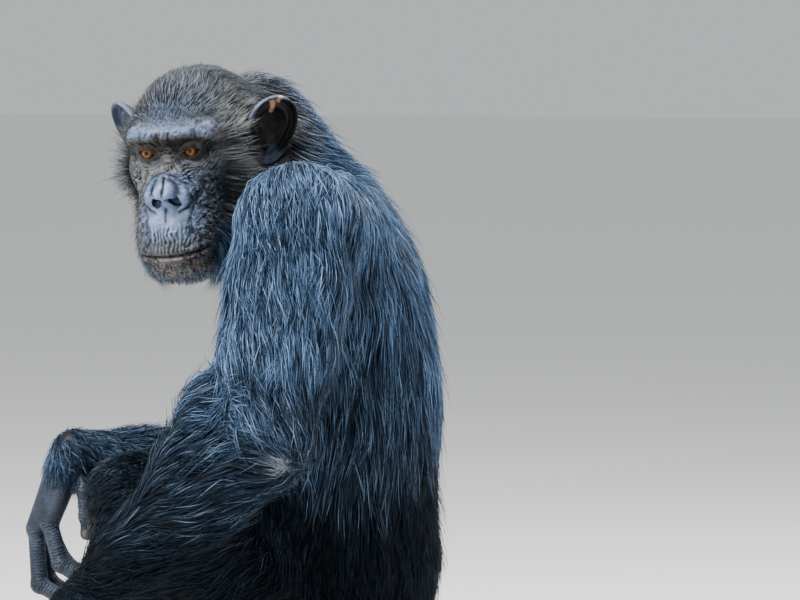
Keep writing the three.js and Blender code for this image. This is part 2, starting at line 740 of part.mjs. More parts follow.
hand(
  "left",
  [V(274, -128, 196), V(282, -132, 194), V(292, -130, 194), V(300, -126, 194)],
  [V(248, -182, 120), V(268, -188, 114), V(289, -186, 114), V(308, -180, 120)],
  [
    [V(248, -182, 120), V(240, -190, 66), V(238, -176, 30), V(240, -160, 8)],
    [V(268, -188, 114), V(264, -196, 58), V(263, -176, 24), V(264, -154, 7)],
    [V(289, -186, 114), V(288, -193, 60), V(288, -175, 26), V(288, -155, 7)],
    [V(308, -180, 120), V(312, -184, 74), V(312, -172, 36), V(311, -158, 10)],
  ],
  [V(262, -134, 182), V(240, -146, 150), V(232, -154, 122), V(230, -156, 102)],
);

// Legs, feet and toes
for (const side of sides) {
  const s = side === "left" ? 1 : -1;
  const hip = J["hip_" + side];
  const knee = J["knee_" + side];
  const ankle = J["ankle_" + side];
  const heading = side === "left" ? V(0.12, -1, 0).normalize() : V(-0.1, -1, 0).normalize();
  const out = heading.clone().cross(V(0, 0, 1)).multiplyScalar(-s).normalize();
  const F = (a, o, z) => V(
    ankle.x,
    ankle.y,
    0,
  ).addScaledVector(heading, a).addScaledVector(out, o).add(V(0, 0, z));
  const kneeWay = mitre(hip, knee, ankle);
  const legFlesh = flesh([...trunk, ...thigh(side), shin(side)[0]]);
  let upper = limb(
    [hip, knee],
    legFlesh,
    { around: 16, rings: 7, domes: 3, reach: 120, facing: V(0, 0, 1) },
  );
  const thighSeeds = seedsAround(
    hip,
    knee,
    legFlesh,
    V(0, 0, 1),
    steps(0.3, 0.66, 2),
    steps(-90, 90, 2),
    110,
  );
  const thighFlow = (p) => towards(hip, knee).addScaledVector(V(0, 0, 1), -0.5);
  const nearThigh = [flesh(trunk), armFields[side === "left" ? 0 : 1], flesh([shin(side)[1]])];
  upper = comb(
    upper,
    legFlesh,
    thighSeeds,
    thighFlow,
    { length: 84, half: 16, thick: 5, tip: 10 },
    nearThigh,
  );
  upper = stand(keep(keep(upper, hipAt[side], hipWay[side]), knee, kneeWay.clone().negate()));
  parts["thigh_" + side] = largest(upper);
  const foot = [
    bone(F(-34, 0, 26), F(10, 2, 32), 27, 30, 16),
    bone(F(10, 2, 34), F(84, 26, 15), 26, 15, 16),
    bone(F(10, 0, 30), F(92, -14, 15), 24, 15, 16),
    bone(F(0, -6, 24), F(62, -26, 16), 24, 17, 16),
    bone(ankle, F(4, 0, 44), 27, 28, 16),
  ];
  const shinFlesh = flesh([thigh(side)[2], ...shin(side), ...foot]);
  let lower = limb(
    [knee, ankle],
    shinFlesh,
    { around: 14, rings: 8, domes: 3, reach: 90, facing: V(0, 0, 1) },
  );
  const ankleAt = F(2, 0, 74);
  const ankleWay = V(0, 0, 1).addScaledVector(heading, -0.35);
  const shinSeeds = seedsAround(
    knee,
    ankle,
    shinFlesh,
    V(0, -1, 0),
    steps(0.2, 0.5, 2),
    steps(-80, 80, 2),
    80,
  );
  const shinFlow = () => towards(knee, ankle);
  const nearShin = [flesh([thigh(side)[1]]), armFields[side === "left" ? 0 : 1]];
  lower = comb(
    lower,
    shinFlesh,
    shinSeeds,
    shinFlow,
    { length: 72, half: 13, thick: 4.5, tip: 9 },
    nearShin,
  );
  lower = keep(keep(lower, knee, kneeWay), ankleAt, ankleWay);
  parts["shin_" + side] = largest(lower);
  const footFlesh = flesh([shin(side)[2], ...foot]);
  const option = { around: 14, rings: 6, domes: 2, reach: 80, facing: V(0, 0, 1) };
  const footPath = [F(-30, 0, 28), F(84, 4, 18)];
  let whole = keep(limb(footPath, footFlesh, option), ankleAt, ankleWay.clone().negate());
  parts["foot_" + side] = largest(stand(whole));
  const swollen = limb(footPath, footFlesh, { ...option, grow: GROW });
  const names = ["big_toe", "second_toe", "third_toe", "fourth_toe", "little_toe"];
  const roots = [F(56, -32, 15), F(92, -21, 12), F(98, -3, 12), F(95, 15, 11), F(86, 32, 11)];
  const tips = [F(92, -66, 9), F(136, -25, 7), F(143, -4, 7), F(138, 17, 7), F(126, 38, 6.6)];
  names.forEach((name, i) => {
    const big = i === 0;
    const radii = big ? [14, 12.5, 10.5] : [8.6, 8.3, 7.4];
    const middle = between(roots[i], tips[i], 0.55).add(V(0, 0, big ? 1 : 4));
    const chain = flesh([
      bone(roots[i], middle, radii[0], radii[1], 4),
      bone(middle, tips[i], radii[1], radii[2], 4),
    ]);
    const shape = { around: 7, rings: 3, domes: 1, reach: 24, facing: V(0, 0, 1) };
    const toe = limb([roots[i], middle, tips[i]], chain, shape).subtract(swollen);
    parts[name + "_" + side] = largest(stand(toe));
  });
}

// Colours
const colour = (name) => {
  if (name.startsWith("eye")) return 0x8a4a16;
  if (/hand|finger|thumb|foot|toe|ear_/.test(name)) return 0x3a3d44;
  return name === "head" ? 0x4a4845 : 0x20242c;
};

const group = new THREE.Group();
for (const [name, whole] of Object.entries(parts)) {
  const mesh = whole.getMesh();
  const geometry = new THREE.BufferGeometry();
  const width = mesh.numProp;
  const places = new Float32Array(mesh.numVert * 3);
  for (let i = 0; i < mesh.numVert; i++) {
    places.set(mesh.vertProperties.slice(i * width, i * width + 3), i * 3);
  }
  geometry.setAttribute("position", new THREE.BufferAttribute(places, 3));
  geometry.setIndex(new THREE.BufferAttribute(new Uint32Array(mesh.triVerts), 1));
  const piece = new THREE.Mesh(
    geometry,
    new THREE.MeshStandardMaterial({ color: colour(name), roughness: 0.7 }),
  );
  piece.name = name;
  group.add(piece);
}

export default group;
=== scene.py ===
import math

import bmesh
import bpy
import numpy as np
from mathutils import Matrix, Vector


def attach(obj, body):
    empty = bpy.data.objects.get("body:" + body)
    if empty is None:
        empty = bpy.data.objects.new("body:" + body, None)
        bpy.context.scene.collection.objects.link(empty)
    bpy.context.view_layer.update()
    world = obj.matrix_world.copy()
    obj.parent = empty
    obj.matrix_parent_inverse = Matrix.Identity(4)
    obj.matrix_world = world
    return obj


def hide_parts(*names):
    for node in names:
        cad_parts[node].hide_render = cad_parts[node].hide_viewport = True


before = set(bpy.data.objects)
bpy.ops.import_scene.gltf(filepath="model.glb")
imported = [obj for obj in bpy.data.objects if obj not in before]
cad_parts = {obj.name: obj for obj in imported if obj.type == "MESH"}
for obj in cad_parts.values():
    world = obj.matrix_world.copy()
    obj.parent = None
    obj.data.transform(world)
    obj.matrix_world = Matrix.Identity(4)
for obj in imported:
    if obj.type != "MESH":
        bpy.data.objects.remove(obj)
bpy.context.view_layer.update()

# The trunk and limbs of the sitting animal: bone and muscle, given as tapered bones and rounded
# masses that melt into each other. One skin is drawn tight over them from crown to toes, and it
# lies under the coat by the depth of the hair.
HIP = {"left": (0.078, 0.058, 0.095), "right": (-0.078, 0.058, 0.095)}
KNEE = {"left": (0.172, -0.101, 0.301), "right": (-0.218, -0.156, 0.190)}
ANKLE = {"left": (0.112, -0.160, 0.072), "right": (-0.182, -0.372, 0.072)}
SHOULDER = {"left": (0.158, 0.066, 0.572), "right": (-0.140, -0.034, 0.562)}
ELBOW = {"left": (0.276, 0.080, 0.372), "right": (-0.216, -0.076, 0.280)}
WRIST = {"left": (0.284, -0.118, 0.208), "right": (-0.045, -0.272, 0.331)}
SIDES = {"left": 1, "right": -1}


def spot(*numbers):
    return np.array(numbers, float)


def unit(v):
    return v / np.maximum(np.linalg.norm(v, axis=-1, keepdims=True), 1e-12)


def between(a, b, t):
    return spot(*a) + (spot(*b) - spot(*a)) * t


def ease(low, high, x):
    t = np.clip((x - low) / (high - low), 0, 1)
    return t * t * (3 - 2 * t)


def length_of(v):
    return np.linalg.norm(v, axis=1)


def bone(a, b, radius_a, radius_b, soft=0.030):
    """A tapered rod with round ends: how far a place lies outside it, how softly it melts, its box."""
    a, b = spot(*a), spot(*b)
    line = b - a

    def at(p):
        to = p - a
        t = np.clip(to @ line / (line @ line), 0, 1)
        return length_of(to - t[:, None] * line) - (radius_a + (radius_b - radius_a) * t)

    low = np.minimum(a - radius_a, b - radius_b)
    high = np.maximum(a + radius_a, b + radius_b)
    return at, soft, low, high


def lump(centre, radii, soft=0.030, turn=np.eye(3)):
    """A rounded mass with three half sizes, given as a bone is."""
    centre, radii = spot(*centre), spot(*radii)

    def at(p):
        q = (p - centre) @ turn
        share = length_of(q / radii)
        slope = length_of(q / radii ** 2)
        return share * (share - 1) / np.maximum(slope, 1e-9)

    reach = np.abs(turn) @ radii
    return at, soft, centre - reach, centre + reach


def melt(a, b, soft):
    """The nearer of two distances, rounded over where they are within soft of each other."""
    near = np.maximum(soft - np.abs(a - b), 0) / soft
    return np.minimum(a, b) - near * near * soft * 0.25


def turned_about_z(degrees):
    c, s = math.cos(math.radians(degrees)), math.sin(math.radians(degrees))
    return np.array([[c, -s, 0], [s, c, 0], [0, 0, 1]])


trunk = [
    lump((0, 0.038, 0.097), (0.130, 0.102, 0.113)),
    lump((0, 0.034, 0.235), (0.130, 0.102, 0.120)),
    lump((0.002, 0.034, 0.365), (0.142, 0.106, 0.130), 0.040, turned_about_z(13)),
    lump((0.006, 0.038, 0.480), (0.138, 0.092, 0.100), 0.040, turned_about_z(13)),
    bone((0.062, 0.054, 0.556), (-0.056, 0.010, 0.548), 0.050, 0.050, 0.040),
    bone((0.004, 0.072, 0.420), (0.002, 0.046, 0.536), 0.062, 0.048, 0.040),
]
neck = [
    bone((0, 0.022, 0.540), (-0.024, -0.082, 0.593), 0.064, 0.051, 0.030),
    bone((-0.030, 0.012, 0.578), (-0.054, -0.070, 0.666), 0.048, 0.049, 0.024),
    bone((0.025, -0.030, 0.552), (0.040, -0.086, 0.578), 0.038, 0.032, 0.030),
]


def shoulder(side):
    top, elbow = spot(*SHOULDER[side]), spot(*ELBOW[side])
    girdle = spot(top[0] * 0.45, top[1] * 0.5 + 0.018, 0.568)
    return [bone(girdle, top, 0.052, 0.056, 0.036), bone(top, between(top, elbow, 0.3), 0.057, 0.055)]


def upper_arm(side):
    top, elbow = SHOULDER[side], ELBOW[side]
    return [
        bone(between(top, elbow, 0.3), between(top, elbow, 0.62), 0.055, 0.050, 0.026),
        bone(between(top, elbow, 0.62), elbow, 0.050, 0.040, 0.026),
    ]


def forearm(side):
    elbow, wrist = spot(*ELBOW[side]), spot(*WRIST[side])
    point = elbow + unit(elbow - wrist) * 0.010
    inside = between(elbow, SHOULDER[side], 0.14) + spot(0, -0.060, 0.004)
    return [
        bone(elbow, between(elbow, wrist, 0.3), 0.040, 0.041, 0.024),
        bone(between(elbow, wrist, 0.3), between(elbow, wrist, 0.7), 0.041, 0.033, 0.024),
        bone(between(elbow, wrist, 0.7), wrist, 0.032, 0.023, 0.024),
        bone(elbow, point, 0.034, 0.026, 0.018),
        bone(inside, between(elbow, wrist, 0.45), 0.032, 0.033, 0.026),
    ]


def thigh(side):
    hip, knee = HIP[side], KNEE[side]
    return [
        bone(hip, between(hip, knee, 0.5), 0.084, 0.070, 0.034),
        bone(between(hip, knee, 0.5), between(hip, knee, 0.85), 0.070, 0.055, 0.030),
        bone(between(hip, knee, 0.85), knee, 0.054, 0.046, 0.022),
    ]


def shin(side):
    knee, ankle = KNEE[side], ANKLE[side]
    calf = spot(0, 0.014, 0.004)
    return [
        bone(knee, between(knee, ankle, 0.3) + calf, 0.045, 0.046, 0.022),
        bone(between(knee, ankle, 0.3) + calf, between(knee, ankle, 0.65) + calf, 0.046, 0.036, 0.024),
        bone(between(knee, ankle, 0.65), ankle, 0.033, 0.030, 0.024),
    ]


def foot_place(side):
    heading = unit(spot(0.12, -1, 0)) if side == "left" else unit(spot(-0.1, -1, 0))
    out = -SIDES[side] * np.cross(heading, (0, 0, 1))
    ankle = spot(ANKLE[side][0], ANKLE[side][1], 0)
    return lambda ahead, aside, high: ankle + heading * ahead + out * aside + spot(0, 0, high)


def foot(side):
    f = foot_place(side)
    return [
        bone(f(-0.034, 0, 0.026), f(0.010, 0.002, 0.032), 0.027, 0.030, 0.016),
        bone(f(0.010, 0.002, 0.034), f(0.084, 0.026, 0.015), 0.026, 0.015, 0.016),
        bone(f(0.010, 0, 0.030), f(0.092, -0.014, 0.015), 0.024, 0.015, 0.016),
        bone(f(0, -0.006, 0.024), f(0.062, -0.026, 0.016), 0.024, 0.017, 0.016),
        bone(ANKLE[side], f(0.004, 0, 0.044), 0.027, 0.028, 0.016),
    ]


# each toe's root and tip from the ankle: ahead, out to the side and up
TOES = [
    ((0.056, -0.032, 0.015), (0.092, -0.066, 0.009)),
    ((0.092, -0.021, 0.012), (0.136, -0.025, 0.007)),
    ((0.098, -0.003, 0.012), (0.143, -0.004, 0.007)),
    ((0.095, 0.015, 0.011), (0.138, 0.017, 0.007)),
    ((0.086, 0.032, 0.011), (0.126, 0.038, 0.0066)),
]
TOE_ENDS = {}


def toes(side):
    f = foot_place(side)
    chains = []
    TOE_ENDS[side] = []
    for i, (root, tip) in enumerate(TOES):
        radii = (0.014, 0.0125, 0.0105) if i == 0 else (0.0086, 0.0083, 0.0074)
        root, tip = f(*root), f(*tip)
        middle = between(root, tip, 0.55) + spot(0, 0, 0.001 if i == 0 else 0.004)
        near_bone = bone(root, middle, radii[0], radii[1], 0.004)
        far_bone = bone(middle, tip, radii[1], radii[2], 0.004)
        chains.append([near_bone, far_bone])
        TOE_ENDS[side].append((middle, tip, radii[2] - 0.0008))
    return chains


# The hands: long palms and long curved fingers of bone under thick bare skin. The right one hangs
# limp over its knee, and the left one rests its fingertips on the floor. For each side: where the
# palm's bones start, then each finger's knuckle, two joints and tip.
PALM = {
    "right": [
        (-0.040, -0.268, 0.322), (-0.046, -0.280, 0.322),
        (-0.055, -0.288, 0.322), (-0.064, -0.292, 0.320),
    ],
    "left": [
        (0.274, -0.128, 0.196), (0.282, -0.132, 0.194),
        (0.292, -0.130, 0.194), (0.300, -0.126, 0.194),
    ],
}
FINGERS = {
    "right": [
        [(-0.042, -0.298, 0.254), (-0.040, -0.284, 0.212), (-0.046, -0.256, 0.192), (-0.052, -0.244, 0.204)],
        [(-0.052, -0.318, 0.246), (-0.052, -0.314, 0.188), (-0.058, -0.278, 0.168), (-0.064, -0.262, 0.180)],
        [(-0.070, -0.326, 0.246), (-0.076, -0.316, 0.190), (-0.082, -0.282, 0.168), (-0.086, -0.268, 0.180)],
        [(-0.088, -0.326, 0.252), (-0.098, -0.308, 0.208), (-0.104, -0.282, 0.190), (-0.106, -0.270, 0.202)],
    ],
    "left": [
        [(0.248, -0.182, 0.120), (0.240, -0.190, 0.066), (0.238, -0.176, 0.030), (0.240, -0.160, 0.008)],
        [(0.268, -0.188, 0.114), (0.264, -0.196, 0.058), (0.263, -0.176, 0.024), (0.264, -0.154, 0.007)],
        [(0.289, -0.186, 0.114), (0.288, -0.193, 0.060), (0.288, -0.175, 0.026), (0.288, -0.155, 0.007)],
        [(0.308, -0.180, 0.120), (0.312, -0.184, 0.074), (0.312, -0.172, 0.036), (0.311, -0.158, 0.010)],
    ],
}
THUMB = {
    "right": [
        (-0.040, -0.262, 0.318), (-0.036, -0.256, 0.290),
        (-0.038, -0.254, 0.262), (-0.044, -0.256, 0.244),
    ],
    "left": [
        (0.262, -0.134, 0.182), (0.240, -0.146, 0.150),
        (0.232, -0.154, 0.122), (0.230, -0.156, 0.102),
    ],
}


def palm(side):
    bones = [bone(a, chain[0], 0.014, 0.0115, 0.009) for a, chain in zip(PALM[side], FINGERS[side])]
    heel = bone(WRIST[side], between(WRIST[side], THUMB[side][0], 0.7), 0.021, 0.014, 0.012)
    return bones + [heel]


def digit(path, thin):
    """A finger's three bones, each with a slightly thicker joint at its end."""
    radii = (0.0096, 0.0090, 0.0083, 0.0072) if thin else (0.0101, 0.0098, 0.0092, 0.0078)
    chain = []
    for k in range(3):
        a, b = path[k], path[k + 1]
        chain.append(bone(a, b, radii[k] - 0.0008, radii[k + 1], 0.003))
        chain.append(bone(b, between(b, a, 0.004), radii[k + 1] + 0.0003, radii[k + 1], 0.003))
    return chain


# The head: a low skull with a straight brow ridge, deep orbits, a broad flat nose and a heavy
# muzzle, all bone under thin flesh. It is turned to the left on its neck, and its parts are placed
# in its own frame: x to the animal's left, y to the back, z to the crown.
HEAD_AT = (0.0402, -0.0955, 0.646)
FACE_TURN, FACE_PITCH, FACE_ROLL = 5.5, 17, 3.4


def head_axes():
    """The head's three axes as columns; a turn of nought faces the animal's left."""
    turn, pitch, roll = (math.radians(a) for a in (FACE_TURN, FACE_PITCH, FACE_ROLL))
    ahead = spot(math.cos(turn) * math.cos(pitch), math.sin(turn) * math.cos(pitch), -math.sin(pitch))
    left = spot(-math.sin(turn), math.cos(turn), 0)
    left = left * math.cos(roll) + np.cross(ahead, left) * math.sin(roll)
    return np.stack([left, -ahead, np.cross(ahead, left)], axis=1)


HEAD = head_axes()


def in_world(*head_place):
    return spot(*HEAD_AT) + HEAD @ spot(*head_place)


def in_head(p):
    return (p - spot(*HEAD_AT)) @ HEAD


def mass(x, y, z, rx, ry, rz, soft):
    return lump(in_world(x, y, z), (rx, ry, rz), soft, HEAD)


def pair(x, y, z, rx, ry, rz, soft):
    return [mass(x, y, z, rx, ry, rz, soft), mass(-x, y, z, rx, ry, rz, soft)]


def twin(a, b, radius_a, radius_b, soft):
    mirrored = [(in_world(s * a[0], *a[1:]), in_world(s * b[0], *b[1:])) for s in (1, -1)]
    return [bone(start, end, radius_a, radius_b, soft) for start, end in mirrored]


skull = [
    mass(0, 0.012, 0.019, 0.062, 0.072, 0.057, 0.020),
    mass(0, 0.050, 0.012, 0.046, 0.036, 0.042, 0.020),
    mass(0, -0.036, 0.034, 0.049, 0.038, 0.023, 0.014),
    mass(0, -0.042, 0.010, 0.049, 0.033, 0.026, 0.014),
    mass(0, -0.044, -0.022, 0.045, 0.042, 0.042, 0.020),
    *pair(0.041, -0.046, -0.008, 0.019, 0.024, 0.022, 0.016),
    *twin((0.046, -0.004, -0.028), (0.024, -0.070, -0.086), 0.025, 0.022, 0.022),
    mass(0, -0.070, -0.056, 0.043, 0.044, 0.044, 0.020),
    mass(0, -0.084, -0.072, 0.040, 0.038, 0.026, 0.016),
    mass(0, -0.076, -0.095, 0.034, 0.033, 0.022, 0.014),
    bone(in_world(0, -0.045, -0.078), in_world(0, 0.025, -0.055), 0.030, 0.042, 0.024),
    *twin((0.045, -0.046, 0.016), (0.036, -0.065, 0.0285), 0.0090, 0.0092, 0.010),
    *twin((0.036, -0.065, 0.0285), (0.018, -0.076, 0.0360), 0.0092, 0.0096, 0.009),
    *twin((0.018, -0.076, 0.0360), (0, -0.077, 0.0345), 0.0096, 0.0088, 0.009),
    bone(in_world(0, -0.064, 0.026), in_world(0, -0.072, 0.004), 0.009, 0.008, 0.010),
    bone(in_world(0, -0.072, 0.004), in_world(0, -0.090, -0.008), 0.009, 0.011, 0.010),
]
nose = [
    mass(0, -0.090, -0.008, 0.018, 0.015, 0.017, 0.008),
    mass(0, -0.101, -0.018, 0.0125, 0.0135, 0.0105, 0.006),
    *pair(0.0050, -0.1035, -0.0170, 0.0072, 0.0118, 0.0088, 0.003),
    *pair(0.0165, -0.094, -0.023, 0.0115, 0.0115, 0.0105, 0.005),
    *twin((0.008, -0.093, -0.002), (0.017, -0.092, -0.020), 0.009, 0.0095, 0.006),
]
orbits = pair(0.025, -0.091, 0.016, 0.017, 0.014, 0.011, 0.008)
EYE_AT = {side: (0.023 * s, -0.067, 0.0150) for side, s in SIDES.items()}
EYE_RADIUS = 0.0108
LID_THICKNESS = 0.0024


def opening(q, side):
    """How far a place, measured from the middle of the eye, lies outside the almond between the lids."""
    across = np.degrees(np.arctan2(q[:, 0] * SIDES[side], -q[:, 1]))
    high = np.degrees(np.arctan2(q[:, 2], np.hypot(q[:, 0], q[:, 1])))
    u = (across - 3) / 41
    upper = 18 * np.clip(1 - np.abs(u - 0.08) ** 2.3, -1, 1) + 3 * u
    lower = -19 * np.clip(1 - np.abs(u + 0.05) ** 2.0, -1, 1) + 3 * u
    beyond = np.maximum(high - upper, lower - high)
    return np.where(q[:, 1] < 0, np.radians(beyond) * EYE_RADIUS, 0.02)


def swell(p, size, seed):
    """A smooth uneven wave of about one, up and down, with crests about a size apart."""
    random = np.random.default_rng(seed)
    total = 0
    for turn in range(7):
        way = unit(random.normal(size=3)) * 2 * math.pi / size * random.uniform(0.65, 1.4)
        total = total + np.sin(p @ way + random.uniform(0, 6))
    return total / 2.2


def bell(x, width):
    """One at nought, falling away smoothly to either side."""
    return np.exp(-(x / width) ** 2)


def away_from(line, x, z):
    """How far each place lies from a line through the given places, in the plane of the face."""
    closest = np.full(len(x), 1.0)
    for (ax, az), (bx, bz) in zip(line[:-1], line[1:]):
        dx, dz = bx - ax, bz - az
        t = np.clip(((x - ax) * dx + (z - az) * dz) / (dx * dx + dz * dz), 0, 1)
        closest = np.minimum(closest, np.hypot(x - ax - t * dx, z - az - t * dz))
    return closest


# the radius and depth of each fold in the bags under the eyes
BAG_FOLDS = [(0.0128, 0.4), (0.0152, 0.9), (0.0182, 0.8), (0.0212, 0.9), (0.0245, 0.7), (0.0280, 0.8)]
# the outline of one half of the heart-shaped nose, and the fold over its wing, across and up
NOSE_EDGE = [(0.0010, 0.0020), (0.0110, -0.0015), (0.0195, -0.0100), (0.0250, -0.0205),
             (0.0252, -0.0280), (0.0205, -0.0335), (0.0130, -0.0365)]
NOSE_WING = [(0.0070, -0.0040), (0.0120, -0.0105), (0.0140, -0.0180)]


def folds(q, broad=1.0):
    """How deep each place of the face lies in a fold of the skin, one in the deepest."""
    x, z = q[:, 0], q[:, 2]
    fold = np.zeros(len(q))
    drift = 0.0008 * swell(q, 0.016, 1) + 0.0003 * swell(q, 0.005, 2)
    patchy = ease(-0.7, 0.5, swell(q, 0.011, 3))

    def press(away, width, depth):
        np.maximum(fold, depth * bell(away, width * broad), out=fold)

    # the bags under the eyes, ringed by folds, and the short folds at the eyes' outer corners
    for s in (1, -1):
        ex, ez = s * x - 0.0235, z - 0.0150
        ring = np.hypot(ex, 1.08 * ez) + drift
        turn = np.degrees(np.arctan2(-ez, ex))
        below = ease(-25, 10, turn) * ease(185, 150, turn)
        for radius, depth in BAG_FOLDS:
            press(ring - radius, 0.00062, depth * below * (0.45 + 0.55 * patchy))
        press(ring - 0.0128 - 0.0004, 0.0006, 0.8 * ease(-50, -80, turn) * ease(-175, -150, turn))
        outer = ease(0.0125, 0.0150, ring) * ease(0.030, 0.024, ring) * ease(62, 45, np.abs(turn))
        press(np.abs((turn + 4000 * drift) % 17 - 8.5) * 0.00035, 0.0006, 0.8 * outer)
    # short folds across the bridge of the nose, and two upright ones between the brows
    bridge = ease(0.011, 0.006, np.abs(x)) * ease(-0.001, 0.002, z) * ease(0.024, 0.020, z)
    press(((z + 2 * drift + 0.12 * np.abs(x)) % 0.0040) - 0.0020, 0.0007, 0.9 * bridge * (0.4 + 0.6 * patchy))
    for s in (1, -1):
        press(away_from(((s * 0.0045, 0.022), (s * 0.0058, 0.038)), x, z) + drift * 0.5, 0.0009, 0.7)
        # the nose is edged by a fold, with a groove down the middle
        press(away_from(NOSE_EDGE, s * x, z) + 0.3 * drift, 0.0010, 0.85)
        press(away_from(NOSE_WING, s * x, z), 0.0017, 0.85)
        press(away_from(((0.026, -0.030), (0.0225, -0.044), (0.0215, -0.060)), s * x, z) + drift, 0.0010, 0.8)
        press(away_from(((0.024, -0.004), (0.0325, -0.020), (0.0360, -0.036)), s * x, z) + drift, 0.0009, 0.7)
    press(away_from(((0.0010, -0.0020), (0, -0.0180)), x, z) + 0.3 * drift, 0.0009, 1.1)
    press(away_from(((-0.0008, -0.0330), (-0.0010, -0.0440)), x, z), 0.0011, 0.8)
    press(away_from(((0.0310, 0.0400), (0.0320, 0.0270)), x, z), 0.0009, 0.5)
    # upright wrinkles above and below the mouth
    lip = ease(-0.042, -0.056, z) * ease(0.032, 0.024, np.abs(x)) * ease(-0.098, -0.084, z)
    lip = lip * ease(0.0030, 0.0080, np.abs(z + 0.0790))
    press(((x + 1.3 * drift) % 0.0042) - 0.0021, 0.0008, lip * (0.60 + 0.4 * patchy))
    # a net of crossing wrinkles over the cheeks and the chin
    cheek = ease(0.020, 0.026, np.abs(x) + 0.25 * np.maximum(-z - 0.040, 0)) * ease(0.004, -0.008, z)
    cheek = np.maximum(cheek, 0.8 * ease(-0.084, -0.090, z))
    for slant, every in ((0.9, 0.0060), (-0.7, 0.0068), (0.05, 0.0085)):
        across = (z * math.cos(slant) + np.abs(x) * math.sin(slant) + 2.2 * drift) % every
        press(across - every / 2, 0.0007, cheek * (0.45 + 0.55 * patchy))
    # fine upright wrinkles over the brow
    brow = ease(0.026, 0.031, z) * ease(0.050, 0.044, z)
    press(((x + 2.5 * drift) % 0.0052) - 0.0026, 0.0006, 0.60 * brow * patchy)
    return fold


NOSTRIL_RADII = spot(0.0043, 0.0125, 0.0054)


def nostril(q, s):
    """How far each place lies from the middle of a nostril, one at its edge."""
    h = (q - spot(0.0080 * s, -0.1085, -0.0262)) @ turned_about_z(-26 * s)
    h[:, 2] += 0.30 * h[:, 0] * s
    return length_of(h / NOSTRIL_RADII)


def mouth_line(x):
    """The height of the closed mouth, which curves up a little to the left and down to the right."""
    u = x / 0.041
    return -0.0765 + np.where(u > 0, 0.0030, -0.0050) * u * u


def face_forms(p, d):
    """Cuts the orbits, wraps the lids round the eyes, and opens the nostrils and the mouth."""
    for at, soft, low, high in orbits:
        d = -melt(-d, at(p), soft)
    q = in_head(p)
    for side in SIDES:
        e = q - spot(*EYE_AT[side])
        ball = length_of(e)
        d = melt(d, ball - EYE_RADIUS - LID_THICKNESS, 0.005)
        gap = np.maximum(opening(e, side), EYE_RADIUS - 0.0030 - ball)
        gap = np.maximum(gap, ball - EYE_RADIUS - LID_THICKNESS - 0.004)
        d = -melt(-d, gap, 0.0014)
    for s in (1, -1):
        d = -melt(-d, (nostril(q, s) - 1) * 0.0060, 0.0014)
    up = q[:, 2] - mouth_line(q[:, 0])
    lips = (q[:, 1] < -0.08) * np.clip(1 - (q[:, 0] / 0.041) ** 4, 0, 1)
    full = bell(up - 0.0046, 0.0035) + 1.2 * bell(up + 0.0050, 0.0036) - 1.7 * bell(up, 0.0011)
    d = d - lips * 0.0022 * full
    near = np.flatnonzero((np.abs(d) < 0.004) & (q[:, 1] < -0.030))
    d[near] += 0.0018 * folds(q[near]) - 0.0003 * swell(q[near], 0.007, 5)
    return d


def group(masses, around=None, soft=0.003, finish=None):
    """Masses that melt into each other, used only in the box round some of them."""
    around = around or masses
    low = np.min([m[2] for m in around], axis=0) - 0.050
    high = np.max([m[3] for m in around], axis=0) + 0.050
    return masses, low, high, soft, finish


# each group melts on to its neighbours along the limbs, but not across them, so that fingers,
# toes and limbs that touch stay apart
groups = [group(trunk + neck + shoulder("left") + shoulder("right") + thigh("left")[:2] + thigh("right")[:2])]
for side in SIDES:
    arm = shoulder(side) + upper_arm(side)
    groups.append(group(trunk + arm + forearm(side)[:1] + forearm(side)[3:4], arm + forearm(side)[:1]))
    groups.append(group(upper_arm(side)[1:] + forearm(side)))
    groups.append(group(forearm(side)[2:3] + palm(side)))
    for path in FINGERS[side]:
        groups.append(group(digit(path, path is FINGERS[side][3])))
    groups.append(group(digit(THUMB[side], True)))
    groups.append(group(trunk + thigh(side) + shin(side)[:1], thigh(side) + shin(side)[:1]))
    groups.append(group(thigh(side)[2:] + shin(side) + foot(side)))
    groups += [group(chain) for chain in toes(side)]
groups.append(group(skull + neck + nose, skull, 0.004, face_forms))


def flesh(p):
    """How far each place lies outside the flesh, in metres; below nought it is inside."""
    total = np.full(len(p), 1.0)
    for masses, low, high, soft, finish in groups:
        here = np.flatnonzero(((p > low) & (p < high)).all(1))
        if not len(here):
            continue
        q = p[here]
        d = np.full(len(q), 1.0)
        for at, mass_soft, mass_low, mass_high in masses:
            reach = mass_soft + 0.030
            close = ((q > mass_low - reach) & (q < mass_high + reach)).all(1)
            d[close] = melt(d[close], at(q[close]), mass_soft)
        if finish:
            d = finish(q, d)
        total[here] = melt(total[here], d, soft)
    return total


# The skin: one thin dark hide over the whole body, bare and creased on the face, hands and feet.
# It is found as a net over the place where the flesh, less the depth of the coat, passes nought,
# and painted by place with the same colours as the hair, painted light and shade included.
COAT_DEPTH = 0.0065
BARE_DEPTH = 0.0008
FLOOR_GAP = 0.0012
GRID = 0.005


def nearest(masses, p):
    """How far each place lies outside the nearest of some masses."""
    return np.min([at(p) for at, *rest in masses], axis=0)


def hand_box(side):
    """The lowest and highest corners of a hand."""
    ends = np.array([WRIST[side], *[p for path in FINGERS[side] for p in path], *THUMB[side]])
    return ends.min(0) - 0.022, ends.max(0) + 0.022


